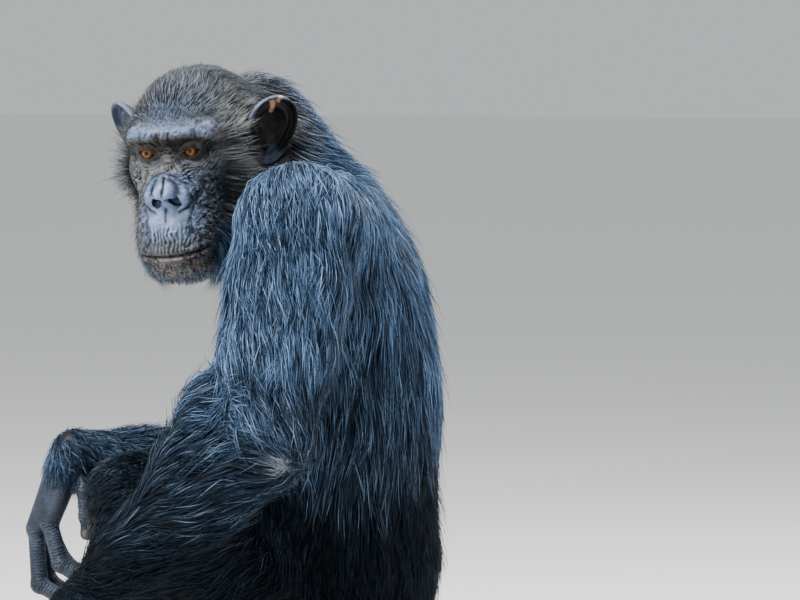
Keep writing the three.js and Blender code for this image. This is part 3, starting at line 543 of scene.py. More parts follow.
def bareness(p):
    """One on the face, the hands and the feet, nought under the coat."""
    q = in_head(p)
    half = np.interp(q[:, 2], (-0.130, -0.100, -0.050, 0, 0.045), (0.022, 0.034, 0.041, 0.0450, 0.0430))
    bare = ease(1.20, 0.94, np.abs(q[:, 0]) / half) * ease(0.049, 0.039, q[:, 2])
    bare = bare * ease(-0.014, -0.032, q[:, 1] + 0.45 * np.minimum(q[:, 2] + 0.085, 0))
    bare = bare * ease(0.165, 0.150, length_of(q))
    for side in SIDES:
        wrist = spot(*WRIST[side])
        way = unit(between(FINGERS[side][1][0], FINGERS[side][2][0], 0.5) - wrist)
        box_low, box_high = hand_box(side)
        here = np.flatnonzero(((p > box_low) & (p < box_high)).all(1))
        bones = palm(side) + [b for path in FINGERS[side] + [THUMB[side]] for b in digit(path, False)]
        away = nearest(bones, p[here])
        beyond = ease(-0.008, 0.042, (p[here] - wrist) @ way)
        bare[here] = np.maximum(bare[here], ease(0.018, 0.009, away) * beyond)
        f = foot_place(side)
        near = ease(0.16, 0.12, length_of(p - f(0.05, 0, 0.03)))
        ahead = (p - f(0, 0, 0)) @ unit(f(1, 0, 0) - f(0, 0, 0))
        bare = np.maximum(bare, near * np.maximum(ease(0.040, 0.022, p[:, 2]), ease(0.040, 0.085, ahead)))
    return bare


def skin_field(p):
    """How far each place lies outside the skin; it is nowhere nearer the floor than the gap."""
    bare = bareness(p)
    under = flesh(p) + COAT_DEPTH + (BARE_DEPTH - COAT_DEPTH) * bare
    return np.maximum(under, FLOOR_GAP - p[:, 2])


def net_over(low, high, grid, reach):
    """A net of four-sided faces where the field passes nought; past reach the field is only rough."""
    counts = np.ceil((high - low) / grid).astype(int)
    axes = [low[k] + grid * np.arange(counts[k]) for k in range(3)]
    coarse = np.stack(np.meshgrid(*[a[::4] + 1.5 * grid for a in axes], indexing="ij"), -1)
    rough = skin_field(coarse.reshape(-1, 3)).reshape(coarse.shape[:3]).astype(np.float32)
    values = rough.repeat(4, 0).repeat(4, 1).repeat(4, 2)[:counts[0], :counts[1], :counts[2]].copy()
    for i, x in enumerate(axes[0]):
        j, k = np.nonzero(np.abs(values[i]) < reach)
        if len(j):
            values[i, j, k] = skin_field(np.stack([np.full(len(j), x), axes[1][j], axes[2][k]], 1))
    inside = values < 0
    corners = [(a, b, c) for a in (0, 1) for b in (0, 1) for c in (0, 1)]
    count = sum(inside[a:counts[0] - 1 + a, b:counts[1] - 1 + b, c:counts[2] - 1 + c].astype(np.int8)
                for a, b, c in corners)
    cells = np.argwhere((count > 0) & (count < 8))
    total, hits = np.zeros((len(cells), 3)), np.zeros(len(cells))
    for a in corners:
        for k in range(3):
            if a[k]:
                continue
            b = tuple(a[m] + (m == k) for m in range(3))
            va = values[tuple((cells + a).T)]
            vb = values[tuple((cells + b).T)]
            crossed = (va < 0) != (vb < 0)
            t = va / np.where(crossed, va - vb, 1)
            total += np.where(crossed[:, None], np.array(a) + t[:, None] * (np.array(b) - a), 0)
            hits += crossed
    points = low + grid * (cells + total / hits[:, None])
    name = np.full(counts, -1, np.int32)
    name[tuple(cells.T)] = np.arange(len(cells))
    faces = []
    for k in range(3):
        one, two = np.eye(3, dtype=int)[(k + 1) % 3], np.eye(3, dtype=int)[(k + 2) % 3]
        ahead = np.roll(inside, -1, axis=k)
        for way in (1, 0):
            edge = np.argwhere((inside & ~ahead) if way else (~inside & ahead))
            edge = edge[(edge > 0).all(1) & (edge < counts - 1).all(1)]
            ring = [name[tuple((edge - o).T)] for o in (0 * one, one, one + two, two)]
            ring = ring if way == 0 else ring[::-1]
            faces.append(np.stack(ring, 1))
    return points, np.concatenate(faces), values


low, high = spot(-0.275, -0.540, -0.006), spot(0.350, 0.170, 0.745)
points, faces, values = net_over(low, high, GRID, 0.030)


def sampled(p):
    """The skin's field at any place, read off the plain net's grid."""
    g = (p - low) / GRID
    i = np.clip(np.floor(g).astype(int), 0, np.array(values.shape) - 2)
    t = np.clip(g - i, 0, 1)
    total = 0
    for a in (0, 1):
        for b in (0, 1):
            for c in (0, 1):
                share = np.abs(1 - a - t[:, 0]) * np.abs(1 - b - t[:, 1]) * np.abs(1 - c - t[:, 2])
                total = total + share * values[i[:, 0] + a, i[:, 1] + b, i[:, 2] + c]
    return total


def outwards(p, e=0.004):
    return unit(np.stack([sampled(p + e * w) - sampled(p - e * w) for w in np.eye(3)], 1))


def foot_box(side):
    f = foot_place(side)
    ends = np.array([f(-0.062, 0, 0), f(0.154, 0, 0), f(0.09, -0.08, 0), f(0.09, 0.05, 0), f(0, 0, 0.105)])
    return ends.min(0) - 0.006, ends.max(0) + 0.006


# head, hands and feet have a finer net, which takes the place of the plain one where the skin is bare
FINE = [(spot(-0.052, -0.197, 0.515), spot(0.163, -0.012, 0.742), 0.00145)]
FINE += [(*hand_box(side), 0.0018) for side in SIDES]
FINE += [(*foot_box(side), 0.0024) for side in SIDES]
nets = []
left = np.ones(len(faces), bool)
for box_low, box_high, grid in FINE:
    box_low, box_high = np.maximum(box_low, low), np.minimum(box_high, high)
    within = ((points[faces] > box_low + 2 * grid) & (points[faces] < box_high - 3 * grid)).all((1, 2))
    left &= ~(within & (bareness(points[faces].mean(1)) > 0.06))
    fine_points, fine_faces, _ = net_over(box_low, box_high, grid, 0.0045)
    fine_faces = fine_faces[(bareness(fine_points) > 0.015)[fine_faces].any(1)]
    nets.append((fine_points, fine_faces))
nets.append((points, faces[left]))
starts = np.cumsum([0] + [len(n[0]) for n in nets])
all_points = np.concatenate([n[0] for n in nets])
all_faces = np.concatenate([n[1] + start for n, start in zip(nets, starts)])


def points_of(mesh):
    places = np.empty(len(mesh.vertices) * 3)
    mesh.vertices.foreach_get("co", places)
    return places.reshape(-1, 3)


def refined(points, faces):
    """Splits the faces of the bare face once more and draws every fine net on to the skin."""
    mesh = bpy.data.meshes.new("skin")
    mesh.from_pydata(points.tolist(), [], faces.tolist())
    form = bmesh.new()
    form.from_mesh(mesh)
    form.verts.ensure_lookup_table()
    loose = [v for v in form.verts if not v.link_faces]
    bmesh.ops.delete(form, geom=loose, context="VERTS")
    form.verts.ensure_lookup_table()
    form.verts.index_update()
    p = np.array([v.co for v in form.verts])
    q = in_head(p)
    at_face = (bareness(p) > 0.60) & (np.abs(q[:, 0]) < 0.07) & (np.abs(q[:, 2]) < 0.12)
    at_face &= (q[:, 1] < -0.03) & (q[:, 1] > -0.14)
    edges = [e for e in form.edges if at_face[e.verts[0].index] and at_face[e.verts[1].index]]
    bmesh.ops.subdivide_edges(form, edges=edges, cuts=1, use_grid_fill=True)
    bmesh.ops.triangulate(form, faces=[f for f in form.faces if len(f.verts) > 4])
    form.to_mesh(mesh)
    form.free()
    p = points_of(mesh)
    fine = bareness(p) > 0.01
    q = p[fine]
    e = 0.0004
    here = skin_field(q)
    slope = np.stack([skin_field(q + e * w) - here for w in np.eye(3)], 1) / e
    slope = slope / np.maximum((slope ** 2).sum(1), 0.5)[:, None]
    for turn in range(2):
        q = q - np.clip(skin_field(q)[:, None] * slope, -0.0006, 0.0006)
    p[fine] = q
    mesh.vertices.foreach_set("co", p.ravel())
    mesh.update()
    return mesh


skin_mesh = refined(all_points, all_faces)
skin_mesh.shade_smooth()

# each patch of the face's colour, some of them painted light and shade: middle and half size across and up,
# and its tone; each is laid softly over those before it
FACE_PAINT = [
    (0, -0.020, 0.070, 0.090, (0.070, 0.076, 0.088)),
    # a painted highlight along the top of the brow ridge
    (0, 0.0415, 0.056, 0.0044, (0.115, 0.155, 0.250)),
    # painted shade under the brow ridge
    (0, 0.0262, 0.054, 0.0084, (0.018, 0.016, 0.014)),
    (0.0235, 0.0160, 0.0155, 0.0110, (0.022, 0.018, 0.016)),
    (-0.0235, 0.0160, 0.0155, 0.0110, (0.022, 0.018, 0.016)),
    (0, 0.0100, 0.0075, 0.0090, (0.085, 0.090, 0.084)),
    (0.0225, 0.0010, 0.0160, 0.0055, (0.160, 0.165, 0.200)),
    (-0.0235, 0.0010, 0.0160, 0.0055, (0.160, 0.160, 0.180)),
    (0.0230, -0.0110, 0.0200, 0.0100, (0.105, 0.125, 0.160)),
    (-0.0240, -0.0110, 0.0200, 0.0100, (0.140, 0.140, 0.140)),
    # painted shade on the muzzle's left side, turned from the light
    (0.0400, -0.0330, 0.0150, 0.0340, (0.026, 0.038, 0.054)),
    (0, -0.0450, 0.0320, 0.0300, (0.105, 0.145, 0.225)),
    (0, -0.0180, 0.0245, 0.0190, (0.135, 0.185, 0.310)),
    (0, -0.0170, 0.0110, 0.0120, (0.170, 0.228, 0.360)),
    (-0.0040, -0.0470, 0.0170, 0.0100, (0.180, 0.235, 0.370)),
    (0, -0.0700, 0.0270, 0.0080, (0.095, 0.102, 0.118)),
    (0, -0.0960, 0.0300, 0.0120, (0.190, 0.150, 0.125)),
]
HIDE, LIP_PINK, EYE_RING = (0.021, 0.030, 0.046), (0.26, 0.16, 0.155), (0.012, 0.009, 0.008)


def pit(p):
    """How deep in the shade each place lies, where an arm or a leg rests against the body."""
    body = nearest(trunk, p)
    shade = np.zeros(len(p))
    for side in SIDES:
        arm = nearest(upper_arm(side)[1:] + forearm(side), p)
        leg = nearest(thigh(side)[1:], p)
        for one, other in ((body, arm), (arm, leg)):
            shade = np.maximum(shade, ease(0.034, 0.010, np.maximum(one, other)) * ease(0.56, 0.50, p[:, 2]))
    return shade


# the coat's tips: a painted blue sheen of light from above, high up, falling to black low down where shade is
# painted; and the black of the roots
LIT_SHEEN_BLUE, LOW_BLACK, ROOT_BLACK = (0.112, 0.196, 0.345), (0.004, 0.006, 0.010), (0.002, 0.0025, 0.0035)
CROWN_GREY, SILVER, FOREHEAD_GREY = (0.115, 0.120, 0.136), (0.185, 0.180, 0.172), (0.085, 0.108, 0.155)
# places low down that get painted light, as pale as the back: how much, where and how far round
PAINTED_LIGHT_PLACES = [(0.10, (0.255, 0.005, 0.405), 0.060), (0.09, KNEE["right"], 0.075)]


def over_it(colour, tone, share):
    """Lays a tone over the colours, by its share at each place."""
    return colour + (spot(*tone) - colour) * share[:, None]


def coat_tone(p):
    """The coat's colours, shared by hair and skin: the dark ground and the paler tips, with painted light on
    the high parts and painted shade low down and where limbs rest on the body.
    """
    q = in_head(p)
    head = ease(0.110, 0.085, length_of(q * spot(1, 0.9, 1)))[:, None]
    height = p[:, 2] + 0.045 * swell(p, 0.20, 21)
    # painted light on the top of the left forearm and on the right knee
    for rise, place, reach in PAINTED_LIGHT_PLACES:
        height = height + rise * bell(length_of(p - place), reach)
    patchy = (1 + 0.22 * swell(p, 0.055, 22))[:, None]
    # painted light and shade: the tips are pale blue high up and black low down
    over = over_it(spot(*LIT_SHEEN_BLUE), LOW_BLACK, ease(0.505, 0.265, height))
    # painted shade where an arm or a leg rests against the body
    over = over * (1 - 0.93 * pit(p))[:, None]
    silver = ease(0.028, 0.048, np.abs(q[:, 0])) * ease(0.03, -0.02, q[:, 1])
    fore = ease(0.030, 0.014, np.abs(q[:, 0])) * ease(0.074, 0.058, q[:, 2]) * ease(-0.030, -0.050, q[:, 1])
    crown = over_it(over_it(spot(*CROWN_GREY), SILVER, silver), FOREHEAD_GREY, fore)
    over = (over + (crown - over) * head) * patchy
    under = spot(*ROOT_BLACK) + over * (0.07 + 0.35 * fore)[:, None]
    return under, over


def painted(p):
    """The colour of the skin at each place, with painted shade in the folds of the face, the nostrils and the
    line of the mouth, before the shader's own mottling.
    """
    q = in_head(p)
    bare = bareness(p)[:, None]
    colour = coat_tone(p)[0]
    hide = spot(*HIDE) * (1 + 0.25 * swell(p, 0.030, 11))[:, None]
    colour = colour + (hide - colour) * bare
    drift = 0.0016 * swell(q, 0.014, 12)
    at_face = ease(-0.010, -0.030, q[:, 1]) * (length_of(q) < 0.18) * bare[:, 0]
    for x, z, across, up, tone in FACE_PAINT:
        arch = 0.0045 * (q[:, 0] / 0.036) ** 2 if z > 0.02 else 0
        far = np.hypot((q[:, 0] - x + drift) / across, (q[:, 2] + arch - z + drift) / up)
        colour = over_it(colour, tone, ease(1.22, 0.80, far) * at_face)
    up = q[:, 2] - mouth_line(q[:, 0])
    pink = 0.55 * bell(up + 0.0032, 0.0013) * ease(0.038, 0.030, np.abs(q[:, 0])) * at_face
    colour = over_it(colour, LIP_PINK, pink)
    # painted shade along the line of the mouth and in the folds of the face
    seam = 1.1 * bell(up, 0.0014) * ease(0.041, 0.036, np.abs(q[:, 0])) * at_face
    deep = np.maximum(1.04 * folds(q, 1.4) ** 0.70 * at_face, 0.95 * seam)
    for side in SIDES:
        e = q - spot(*EYE_AT[side])
        near_ball = ease(0.0040, 0.0022, length_of(e) - EYE_RADIUS)
        colour = over_it(colour, EYE_RING, ease(0.0040, 0.0006, opening(e, side)) * near_ball)
    # painted shade inside the nostrils
    for s in (1, -1):
        deep = np.maximum(deep, 1.2 * ease(1.28, 1.06, nostril(q, s)))
    return colour * (1 - 0.84 * np.clip(deep, 0, 1.15))[:, None]


def give_tint(mesh, colour, relief):
    """Stores the colour of each vertex and, as its fourth number, how deep the fine relief is there."""
    rgba = np.concatenate([colour, np.broadcast_to(relief, (len(colour), 1))], 1).astype(np.float32)
    mesh.color_attributes.new("tint", "FLOAT_COLOR", "POINT").data.foreach_set("color", rgba.ravel())


def along_fingers(p):
    """How far each place lies along its hand or finger from the wrist, and how creased it is."""
    far, creased = np.zeros(len(p)), np.zeros(len(p))
    for side in SIDES:
        box_low, box_high = hand_box(side)
        here = np.flatnonzero(((p > box_low) & (p < box_high)).all(1))
        closest = np.full(len(here), 0.024)
        for path in FINGERS[side] + [THUMB[side]]:
            start = 0.0
            for k, (a, b) in enumerate(zip([WRIST[side], *path[:-1]], path)):
                way = spot(*b) - spot(*a)
                size = np.linalg.norm(way)
                t = np.clip((p[here] - a) @ way / size ** 2, 0, 1)
                off = length_of(p[here] - a - t[:, None] * way)
                best = off < closest
                closest[best] = off[best]
                far[here[best]] = start + t[best] * size
                joint = np.minimum(t, 1 - t)[best] * size
                creased[here[best]] = 0.35 if k == 0 else (0.55 + 0.45 * ease(0.014, 0.004, joint))
                start += size
    return far, creased


def new_look(name, settings):
    """A material with the given constants, and its nodes, links and shader."""
    look = bpy.data.materials.new(name)
    look.use_nodes = True
    nodes, links = look.node_tree.nodes, look.node_tree.links
    shader = nodes["Principled BSDF"]
    for socket, value in settings.items():
        shader.inputs[socket].default_value = value
    return look, nodes, links, shader


def attribute(name):
    node = nodes.new("ShaderNodeAttribute")
    node.attribute_name = name
    return node


def multiplied():
    node = nodes.new("ShaderNodeMix")
    node.data_type, node.blend_type = "RGBA", "MULTIPLY"
    node.inputs["Factor"].default_value = 1
    return node


def count(operation, *inputs):
    node = nodes.new("ShaderNodeMath")
    node.operation = operation
    for number, value in enumerate(inputs):
        if isinstance(value, (int, float)):
            node.inputs[number].default_value = value
        else:
            links.new(value, node.inputs[number])
    return node.outputs["Value"]


def shown(name, mesh, look):
    """Puts a mesh in the scene with its look."""
    mesh.materials.append(look)
    piece = bpy.data.objects.new(name, mesh)
    bpy.context.scene.collection.objects.link(piece)
    return piece


skin_look, nodes, links, shader = new_look("skin", {
    "Roughness": 0.48,
    "Specular IOR Level": 0.22,
    "Subsurface Weight": 0.06,
    "Subsurface Radius": (0.004, 0.002, 0.0015),
    "Subsurface Scale": 1.0,
})
# mottling five millimetres across, and a net of cracks two millimetres across
paint = attribute("tint")
place = nodes.new("ShaderNodeTexCoord")
mottle = nodes.new("ShaderNodeTexNoise")
mottle.inputs["Scale"].default_value = 180
mottle.inputs["Detail"].default_value = 3
scaled = nodes.new("ShaderNodeMapRange")
scaled.inputs["From Min"].default_value, scaled.inputs["From Max"].default_value = 0.3, 0.7
scaled.inputs["To Min"].default_value, scaled.inputs["To Max"].default_value = 0.72, 1.25
shaded = multiplied()
cells = nodes.new("ShaderNodeTexVoronoi")
cells.feature = "DISTANCE_TO_EDGE"
cells.inputs["Scale"].default_value = 420
warp = nodes.new("ShaderNodeVectorMath")
warp.operation = "MULTIPLY_ADD"
warp.inputs[1].default_value = (0.004, 0.004, 0.004)
cracks = nodes.new("ShaderNodeMapRange")
cracks.inputs["From Max"].default_value = 0.30
bump = nodes.new("ShaderNodeBump")
bump.inputs["Distance"].default_value = 0.0004
links.new(place.outputs["Object"], mottle.inputs["Vector"])
links.new(mottle.outputs["Color"], warp.inputs[0])
links.new(place.outputs["Object"], warp.inputs[2])
links.new(warp.outputs["Vector"], cells.inputs["Vector"])
links.new(mottle.outputs["Fac"], scaled.inputs["Value"])
links.new(paint.outputs["Color"], shaded.inputs["A"])
links.new(scaled.outputs["Result"], shaded.inputs["B"])
links.new(cells.outputs["Distance"], cracks.inputs["Value"])
# creases across the fingers: waves along each finger, broken up by the noise, that raise the bumps and paint
# shade in the creases and light on the ridges between
CREASE_GAP = 0.0030
turns = count("MULTIPLY", attribute("along").outputs["Fac"], 2 * math.pi / CREASE_GAP)
uneven = count("MULTIPLY_ADD", mottle.outputs["Fac"], 12, turns)
wave = count("MULTIPLY", count("SINE", uneven), attribute("creased").outputs["Fac"])
crease_shaded = multiplied()
links.new(count("MULTIPLY_ADD", wave, 2.6, cracks.outputs["Result"]), bump.inputs["Height"])
links.new(count("MULTIPLY", paint.outputs["Alpha"], 0.28), bump.inputs["Strength"])
links.new(shaded.outputs["Result"], crease_shaded.inputs["A"])
links.new(count("MULTIPLY_ADD", wave, 0.62, 0.92), crease_shaded.inputs["B"])
links.new(crease_shaded.outputs["Result"], shader.inputs["Base Color"])
links.new(bump.outputs["Normal"], shader.inputs["Normal"])

p = points_of(skin_mesh)
give_tint(skin_mesh, painted(p), bareness(p)[:, None])
for name, amounts in zip(("along", "creased"), along_fingers(p)):
    skin_mesh.attributes.new(name, "FLOAT", "POINT").data.foreach_set("value", amounts.astype(np.float32))
skin = shown("skin", skin_mesh, skin_look)
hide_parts(*[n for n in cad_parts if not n.startswith(("eye", "ear"))])
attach(skin, "root")

# The eyes: wet balls set in the orbits behind the lids, with a small black pupil, an amber iris
# that darkens to its rim, a dark brown white of the eye, and the clear bulge over the iris.
GAZE = {"left": (-0.02, -1.0, 0.13), "right": (0.05, -1.0, 0.12)}
PUPIL, IRIS, BULGE = 0.0021, 0.0058, 0.0007
IRIS_BROWN, IRIS_AMBER, EYE_WHITE = (0.105, 0.034, 0.007), (0.34, 0.13, 0.022), (0.010, 0.006, 0.005)


def eye_mesh(side):
    """A ball of rings round its line of sight, closest together over the iris, with its colours."""
    rings, around = 56, 72
    tilt = math.pi * (np.arange(rings + 1) / rings) ** 1.5
    turn = 2 * math.pi * np.arange(around) / around
    tilt, turn = np.meshgrid(tilt[1:-1], turn, indexing="ij")
    out = EYE_RADIUS + BULGE * ease(0.62, 0.20, tilt)
    wide = out * np.sin(tilt)
    ball = np.stack([wide * np.cos(turn), wide * np.sin(turn), out * np.cos(tilt)], -1).reshape(-1, 3)
    ball = np.concatenate([spot(0, 0, EYE_RADIUS + BULGE)[None], ball, spot(0, 0, -EYE_RADIUS)[None]])
    ahead = unit(HEAD @ spot(*GAZE[side]))
    right = unit(np.cross(ahead, HEAD[:, 2]))
    p = in_world(*EYE_AT[side]) + ball @ np.stack([right, np.cross(right, ahead), ahead])
    faces = []
    for start in range(1, 1 + (rings - 2) * around, around):
        for j in range(around):
            k = (j + 1) % around
            faces.append((start + j, start + around + j, start + around + k, start + k))
    last = len(p) - 1
    for j in range(around):
        k = (j + 1) % around
        faces.append((0, 1 + j, 1 + k))
        faces.append((last, last - around + k, last - around + j))
    mesh = bpy.data.meshes.new("eye_ball_" + side)
    mesh.from_pydata(p.tolist(), [], faces)
    mesh.shade_smooth()
    r = np.hypot(ball[:, 0], ball[:, 1])
    spin = np.arctan2(ball[:, 1], ball[:, 0])
    streak = 0.5 + 0.5 * np.sin(23 * spin + 2 * np.sin(7 * spin)) * np.sin(41 * spin + 1)
    iris = spot(*IRIS_BROWN) * (0.55 + 0.65 * streak * ease(PUPIL, IRIS, r))[:, None]
    iris = over_it(iris, IRIS_AMBER, 0.55 * ease(IRIS * 0.95, IRIS * 0.5, r) * streak)
    iris = iris * (1 - 0.95 * ease(IRIS * 0.70, IRIS * 0.97, r))[:, None]
    iris = iris * ease(PUPIL * 0.85, PUPIL * 1.12, r)[:, None]
    in_front = ((r < IRIS * 1.02) & (ball[:, 2] > 0))[:, None]
    give_tint(mesh, np.where(in_front, iris + 0.002, spot(*EYE_WHITE)), 1)
    return mesh


eye_look, nodes, links, shader = new_look("eye", {
    "Roughness": 0.50,
    "Specular IOR Level": 0.05,
    "Coat Weight": 0.35,
    "Coat Roughness": 0.03,
    "Coat IOR": 1.33,
})
links.new(attribute("tint").outputs["Color"], shader.inputs["Base Color"])
for side in SIDES:
    eye = shown("eye_ball_" + side, eye_mesh(side), eye_look)
    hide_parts("eye_" + side)
    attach(eye, "root")

# The ears: thin cups of gristle under bare dark skin, rooted in the side of the head, with a
# rolled rim, an inner ridge, and the two small knobs that stand before the ear hole.
EAR_HALF_WIDTH, EAR_HALF_HEIGHT = 0.0270, 0.0375
EAR_AROUND = 80
# how far the ear's face stands out, in millimetres, from the middle of the bowl to the rim:
# with the inner ridge, and where the ridge has run out
RIDGED = ([0, 0.34, 0.50, 0.64, 0.74, 0.84, 0.93, 0.97, 1], [-9, -8.6, -7, -2.2, -3.2, -5.2, 1.8, 2.6, 1.2])
PLAIN = ([0, 0.34, 0.55, 0.75, 0.86, 0.95, 1], [-9, -8.6, -7, -4.5, -2, 1.0, 0.4])
# the knobs before the ear hole: which way from the middle, how far out, height and size
EAR_KNOBS = [(3.35, 0.50, 0.0050, 0.20), (4.75, 0.50, 0.0045, 0.20), (5.3, 0.42, 0.0020, 0.15)]


def ear_place(side):
    """Where an ear is rooted, and its axes: out of the bowl, to the back edge, and up."""
    s = SIDES[side]
    tilt = turned_about_z(math.degrees(-0.8 * s))
    c, n = math.cos(0.32 * s), math.sin(0.32 * s)
    lean = np.array([[c, 0, n], [0, 1, 0], [-n, 0, c]])
    return in_world(0.073 * s + 0.003, 0.015, 0.0065 - 0.0015 * s), HEAD @ lean @ tilt


def closed_mesh(name, places, faces, smoothing):
    """A mesh with its faces turned outwards, each point first drawn towards its neighbours."""
    mesh = bpy.data.meshes.new(name)
    mesh.from_pydata(places.tolist(), [], faces)
    form = bmesh.new()
    form.from_mesh(mesh)
    axes = {"use_axis_" + axis: True for axis in "xyz"}
    bmesh.ops.smooth_vert(form, verts=form.verts, factor=smoothing, **axes)
    bmesh.ops.recalc_face_normals(form, faces=form.faces)
    form.to_mesh(mesh)
    form.free()
    mesh.shade_smooth()
    return mesh


def ear_mesh(side):
    """Two round nets, the bowl's face and its back, joined along the rim."""
    at, turn = ear_place(side)
    around = np.arange(EAR_AROUND) / EAR_AROUND * 2 * math.pi
    rho = np.concatenate([np.linspace(0.02, 0.9, 24), np.linspace(0.915, 1, 7)])
    r, a = np.meshgrid(rho, around, indexing="ij")
    back = ease(-0.9, -0.2, np.cos(a - 0.9))
    front = (np.interp(rho, *RIDGED)[:, None] * back + np.interp(rho, *PLAIN)[:, None] * (1 - back)) / 1000
    for way, out, high, size in EAR_KNOBS:
        off = (r * np.cos(a) - out * math.cos(way)) ** 2 + (r * np.sin(a) - out * math.sin(way)) ** 2
        front = front + high * np.exp(-off / size ** 2)
    front = front + 0.0006 * np.sin(5 * a + 9 * r) * r * (1 - r)
    behind = np.minimum(0.0010 - 0.0140 * np.sqrt(1 - r ** 2), front - 0.0024)
    width = EAR_HALF_WIDTH * (1 + 0.17 * np.sin(a)) * (1 + 0.02 * np.sin(3 * a))
    y, z = r * width * np.cos(a), r * EAR_HALF_HEIGHT * np.sin(a)
    verts = np.concatenate([np.stack([x * SIDES[side], y, z], -1).reshape(-1, 3) for x in (front, behind)])
    n, back_start = EAR_AROUND, r.size
    faces = [tuple(range(n))[::-1], tuple(range(back_start, back_start + n))]
    for j in range(n):
        k = (j + 1) % n
        for a in range(0, back_start - n, n):
            b = back_start + a
            faces.append((a + j, a + k, a + n + k, a + n + j))
            faces.append((b + k, b + j, b + n + j, b + n + k))
        faces.append((back_start - n + j, back_start - n + k, 2 * back_start - n + k, 2 * back_start - n + j))
    return closed_mesh("ear_" + side, at + verts @ turn.T, faces, 0.5)


def ear_tint(mesh, side):
    """Near-black inside the bowl, blue-grey on the rim and lobe; the left ear has two pink scars."""
    at, turn = ear_place(side)
    e = (points_of(mesh) - at) @ turn
    y, z = e[:, 1] / EAR_HALF_WIDTH, e[:, 2] / EAR_HALF_HEIGHT
    out = np.hypot(y, z)
    drift = 0.05 * swell(e, 0.012, 31)
    dark = spot(0.006, 0.006, 0.007) if side == "left" else spot(0.028, 0.042, 0.068)
    colour = np.zeros((len(y), 3)) + dark
    marks = [
        (ease(0.93, 1.0, out + drift) * ease(0.25, -0.35, y - 0.5 * z), (0.080, 0.110, 0.165)),
        (ease(0.80, 0.93, out + drift) * ease(-0.40, -0.75, z), (0.070, 0.090, 0.130)),
        (ease(0.34, 0.14, np.hypot(y - 0.25, z + 0.74)), (0.050, 0.078, 0.125)),
    ]
    if side == "left":
        marks.append((ease(0.16, 0.08, np.hypot(y - 0.16, (z - 0.98) * 0.8) + drift), (0.62, 0.36, 0.31)))
        marks.append((ease(0.13, 0.05, np.hypot(y + 0.02, (z - 0.68) * 0.6) + drift), (0.50, 0.24, 0.15)))
    for share, tone in marks:
        colour = over_it(colour, tone, share)
    give_tint(mesh, colour, 0.5)


for side in SIDES:
    ear = shown("ear_skin_" + side, ear_mesh(side), skin_look)
    ear_tint(ear.data, side)
    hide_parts("ear_" + side)
    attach(ear, "root")

# The nails: dark horn plates less than a millimetre thick, curved across, that grow out of the
# back of each finger and toe and end over its tip.
NAIL_THICKNESS = 0.0007
NAIL_COLUMNS, NAIL_ROWS = 13, 11


def nail_mesh(name, joint, tip, back, radius):
    """A curved plate over the end of a finger, its back side towards the given way."""
    ahead = unit(spot(*tip) - spot(*joint))
    back = unit(back - (back @ ahead) * ahead)
    aside = np.cross(ahead, back)
    u, v = np.meshgrid(np.linspace(-1, 1, NAIL_COLUMNS), np.linspace(0, 1, NAIL_ROWS))
    bend = 1.05 * u * (1 - 0.22 * (2 * v - 1) ** 2)
    verts = []
    for layer in (0.0005, 0.0005 - NAIL_THICKNESS):
        reach = radius * (1.15 * (v - 0.66) + 0.20 * (1 - u ** 2) * (2 * v - 1))
        out = np.sqrt(radius ** 2 - np.clip(reach, 0, 0.75 * radius) ** 2) + layer - 0.0009 * (1 - v) ** 4
        away = np.cos(bend)[..., None] * back + np.sin(bend)[..., None] * aside
        verts.append((spot(*tip) + reach[..., None] * ahead + out[..., None] * away).reshape(-1, 3))
    verts = np.concatenate(verts)
    verts[:, 2] = np.maximum(verts[:, 2], 0.0006)
    faces = []
    n, layer_size = NAIL_COLUMNS, NAIL_COLUMNS * NAIL_ROWS
    for i in range(NAIL_ROWS - 1):
        for a in range(i * n, i * n + n - 1):
            b = a + layer_size
            faces.append((a, a + 1, a + n + 1, a + n))
            faces.append((b, b + n, b + n + 1, b + 1))
    edge = [*range(n), *range(2 * n - 1, layer_size, n)]
    edge += [*range(layer_size - 2, layer_size - n - 1, -1), *range(layer_size - 2 * n, 0, -n)]
    for a, b in zip(edge, edge[1:] + edge[:1]):
        faces.append((b, a, a + layer_size, b + layer_size))
    return closed_mesh(name, verts, faces, 0)


nail_look, nodes, links, shader = new_look("nail", {"Roughness": 0.32})
grain = nodes.new("ShaderNodeTexNoise")
grain.inputs["Scale"].default_value = 300
horn = nodes.new("ShaderNodeValToRGB")
horn.color_ramp.elements[0].color = (0.016, 0.014, 0.014, 1)
horn.color_ramp.elements[1].color = (0.070, 0.062, 0.056, 1)
links.new(grain.outputs["Fac"], horn.inputs["Fac"])
links.new(horn.outputs["Color"], shader.inputs["Base Color"])
for side in SIDES:
    ends = []
    for number, path in enumerate([THUMB[side], *FINGERS[side]]):
        bent = spot(*path[2]) - between(path[1], path[3], 0.5)
        ends.append((f"nail_{side}_{number + 1}", path[2], path[3], bent, 0.0070))
    for number, (middle, tip, radius) in enumerate(TOE_ENDS[side]):
        ends.append((f"toe_nail_{side}_{number + 1}", middle, tip, spot(0, 0, 1), radius))
    for name, joint, tip, back, radius in ends:
        nail = shown(name, nail_mesh(name, joint, tip, back, radius), nail_look)
        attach(nail, "root")

# The coat: coarse black hair with a blue-grey shine, up to six centimetres long on the back and
# arms, greyer and shorter on the head, sparse on the hands and feet. It grows out of the skin and
# lies along the body in thin tufts, each a closed tapered strand rooted just under the skin.
chance = np.random.default_rng(11)
REGIONS = {
    "trunk": trunk + thigh("left")[:1] + thigh("right")[:1],
    "neck": neck,
    "head": skull,
}
for side in SIDES:
    REGIONS["upper_arm_" + side] = shoulder(side) + upper_arm(side)
    REGIONS["forearm_" + side] = forearm(side)
    REGIONS["hand_" + side] = palm(side) + [b for path in FINGERS[side] for b in digit(path, False)]
    REGIONS["thigh_" + side] = thigh(side)[1:]
    REGIONS["shin_" + side] = shin(side)
    REGIONS["foot_" + side] = foot(side)
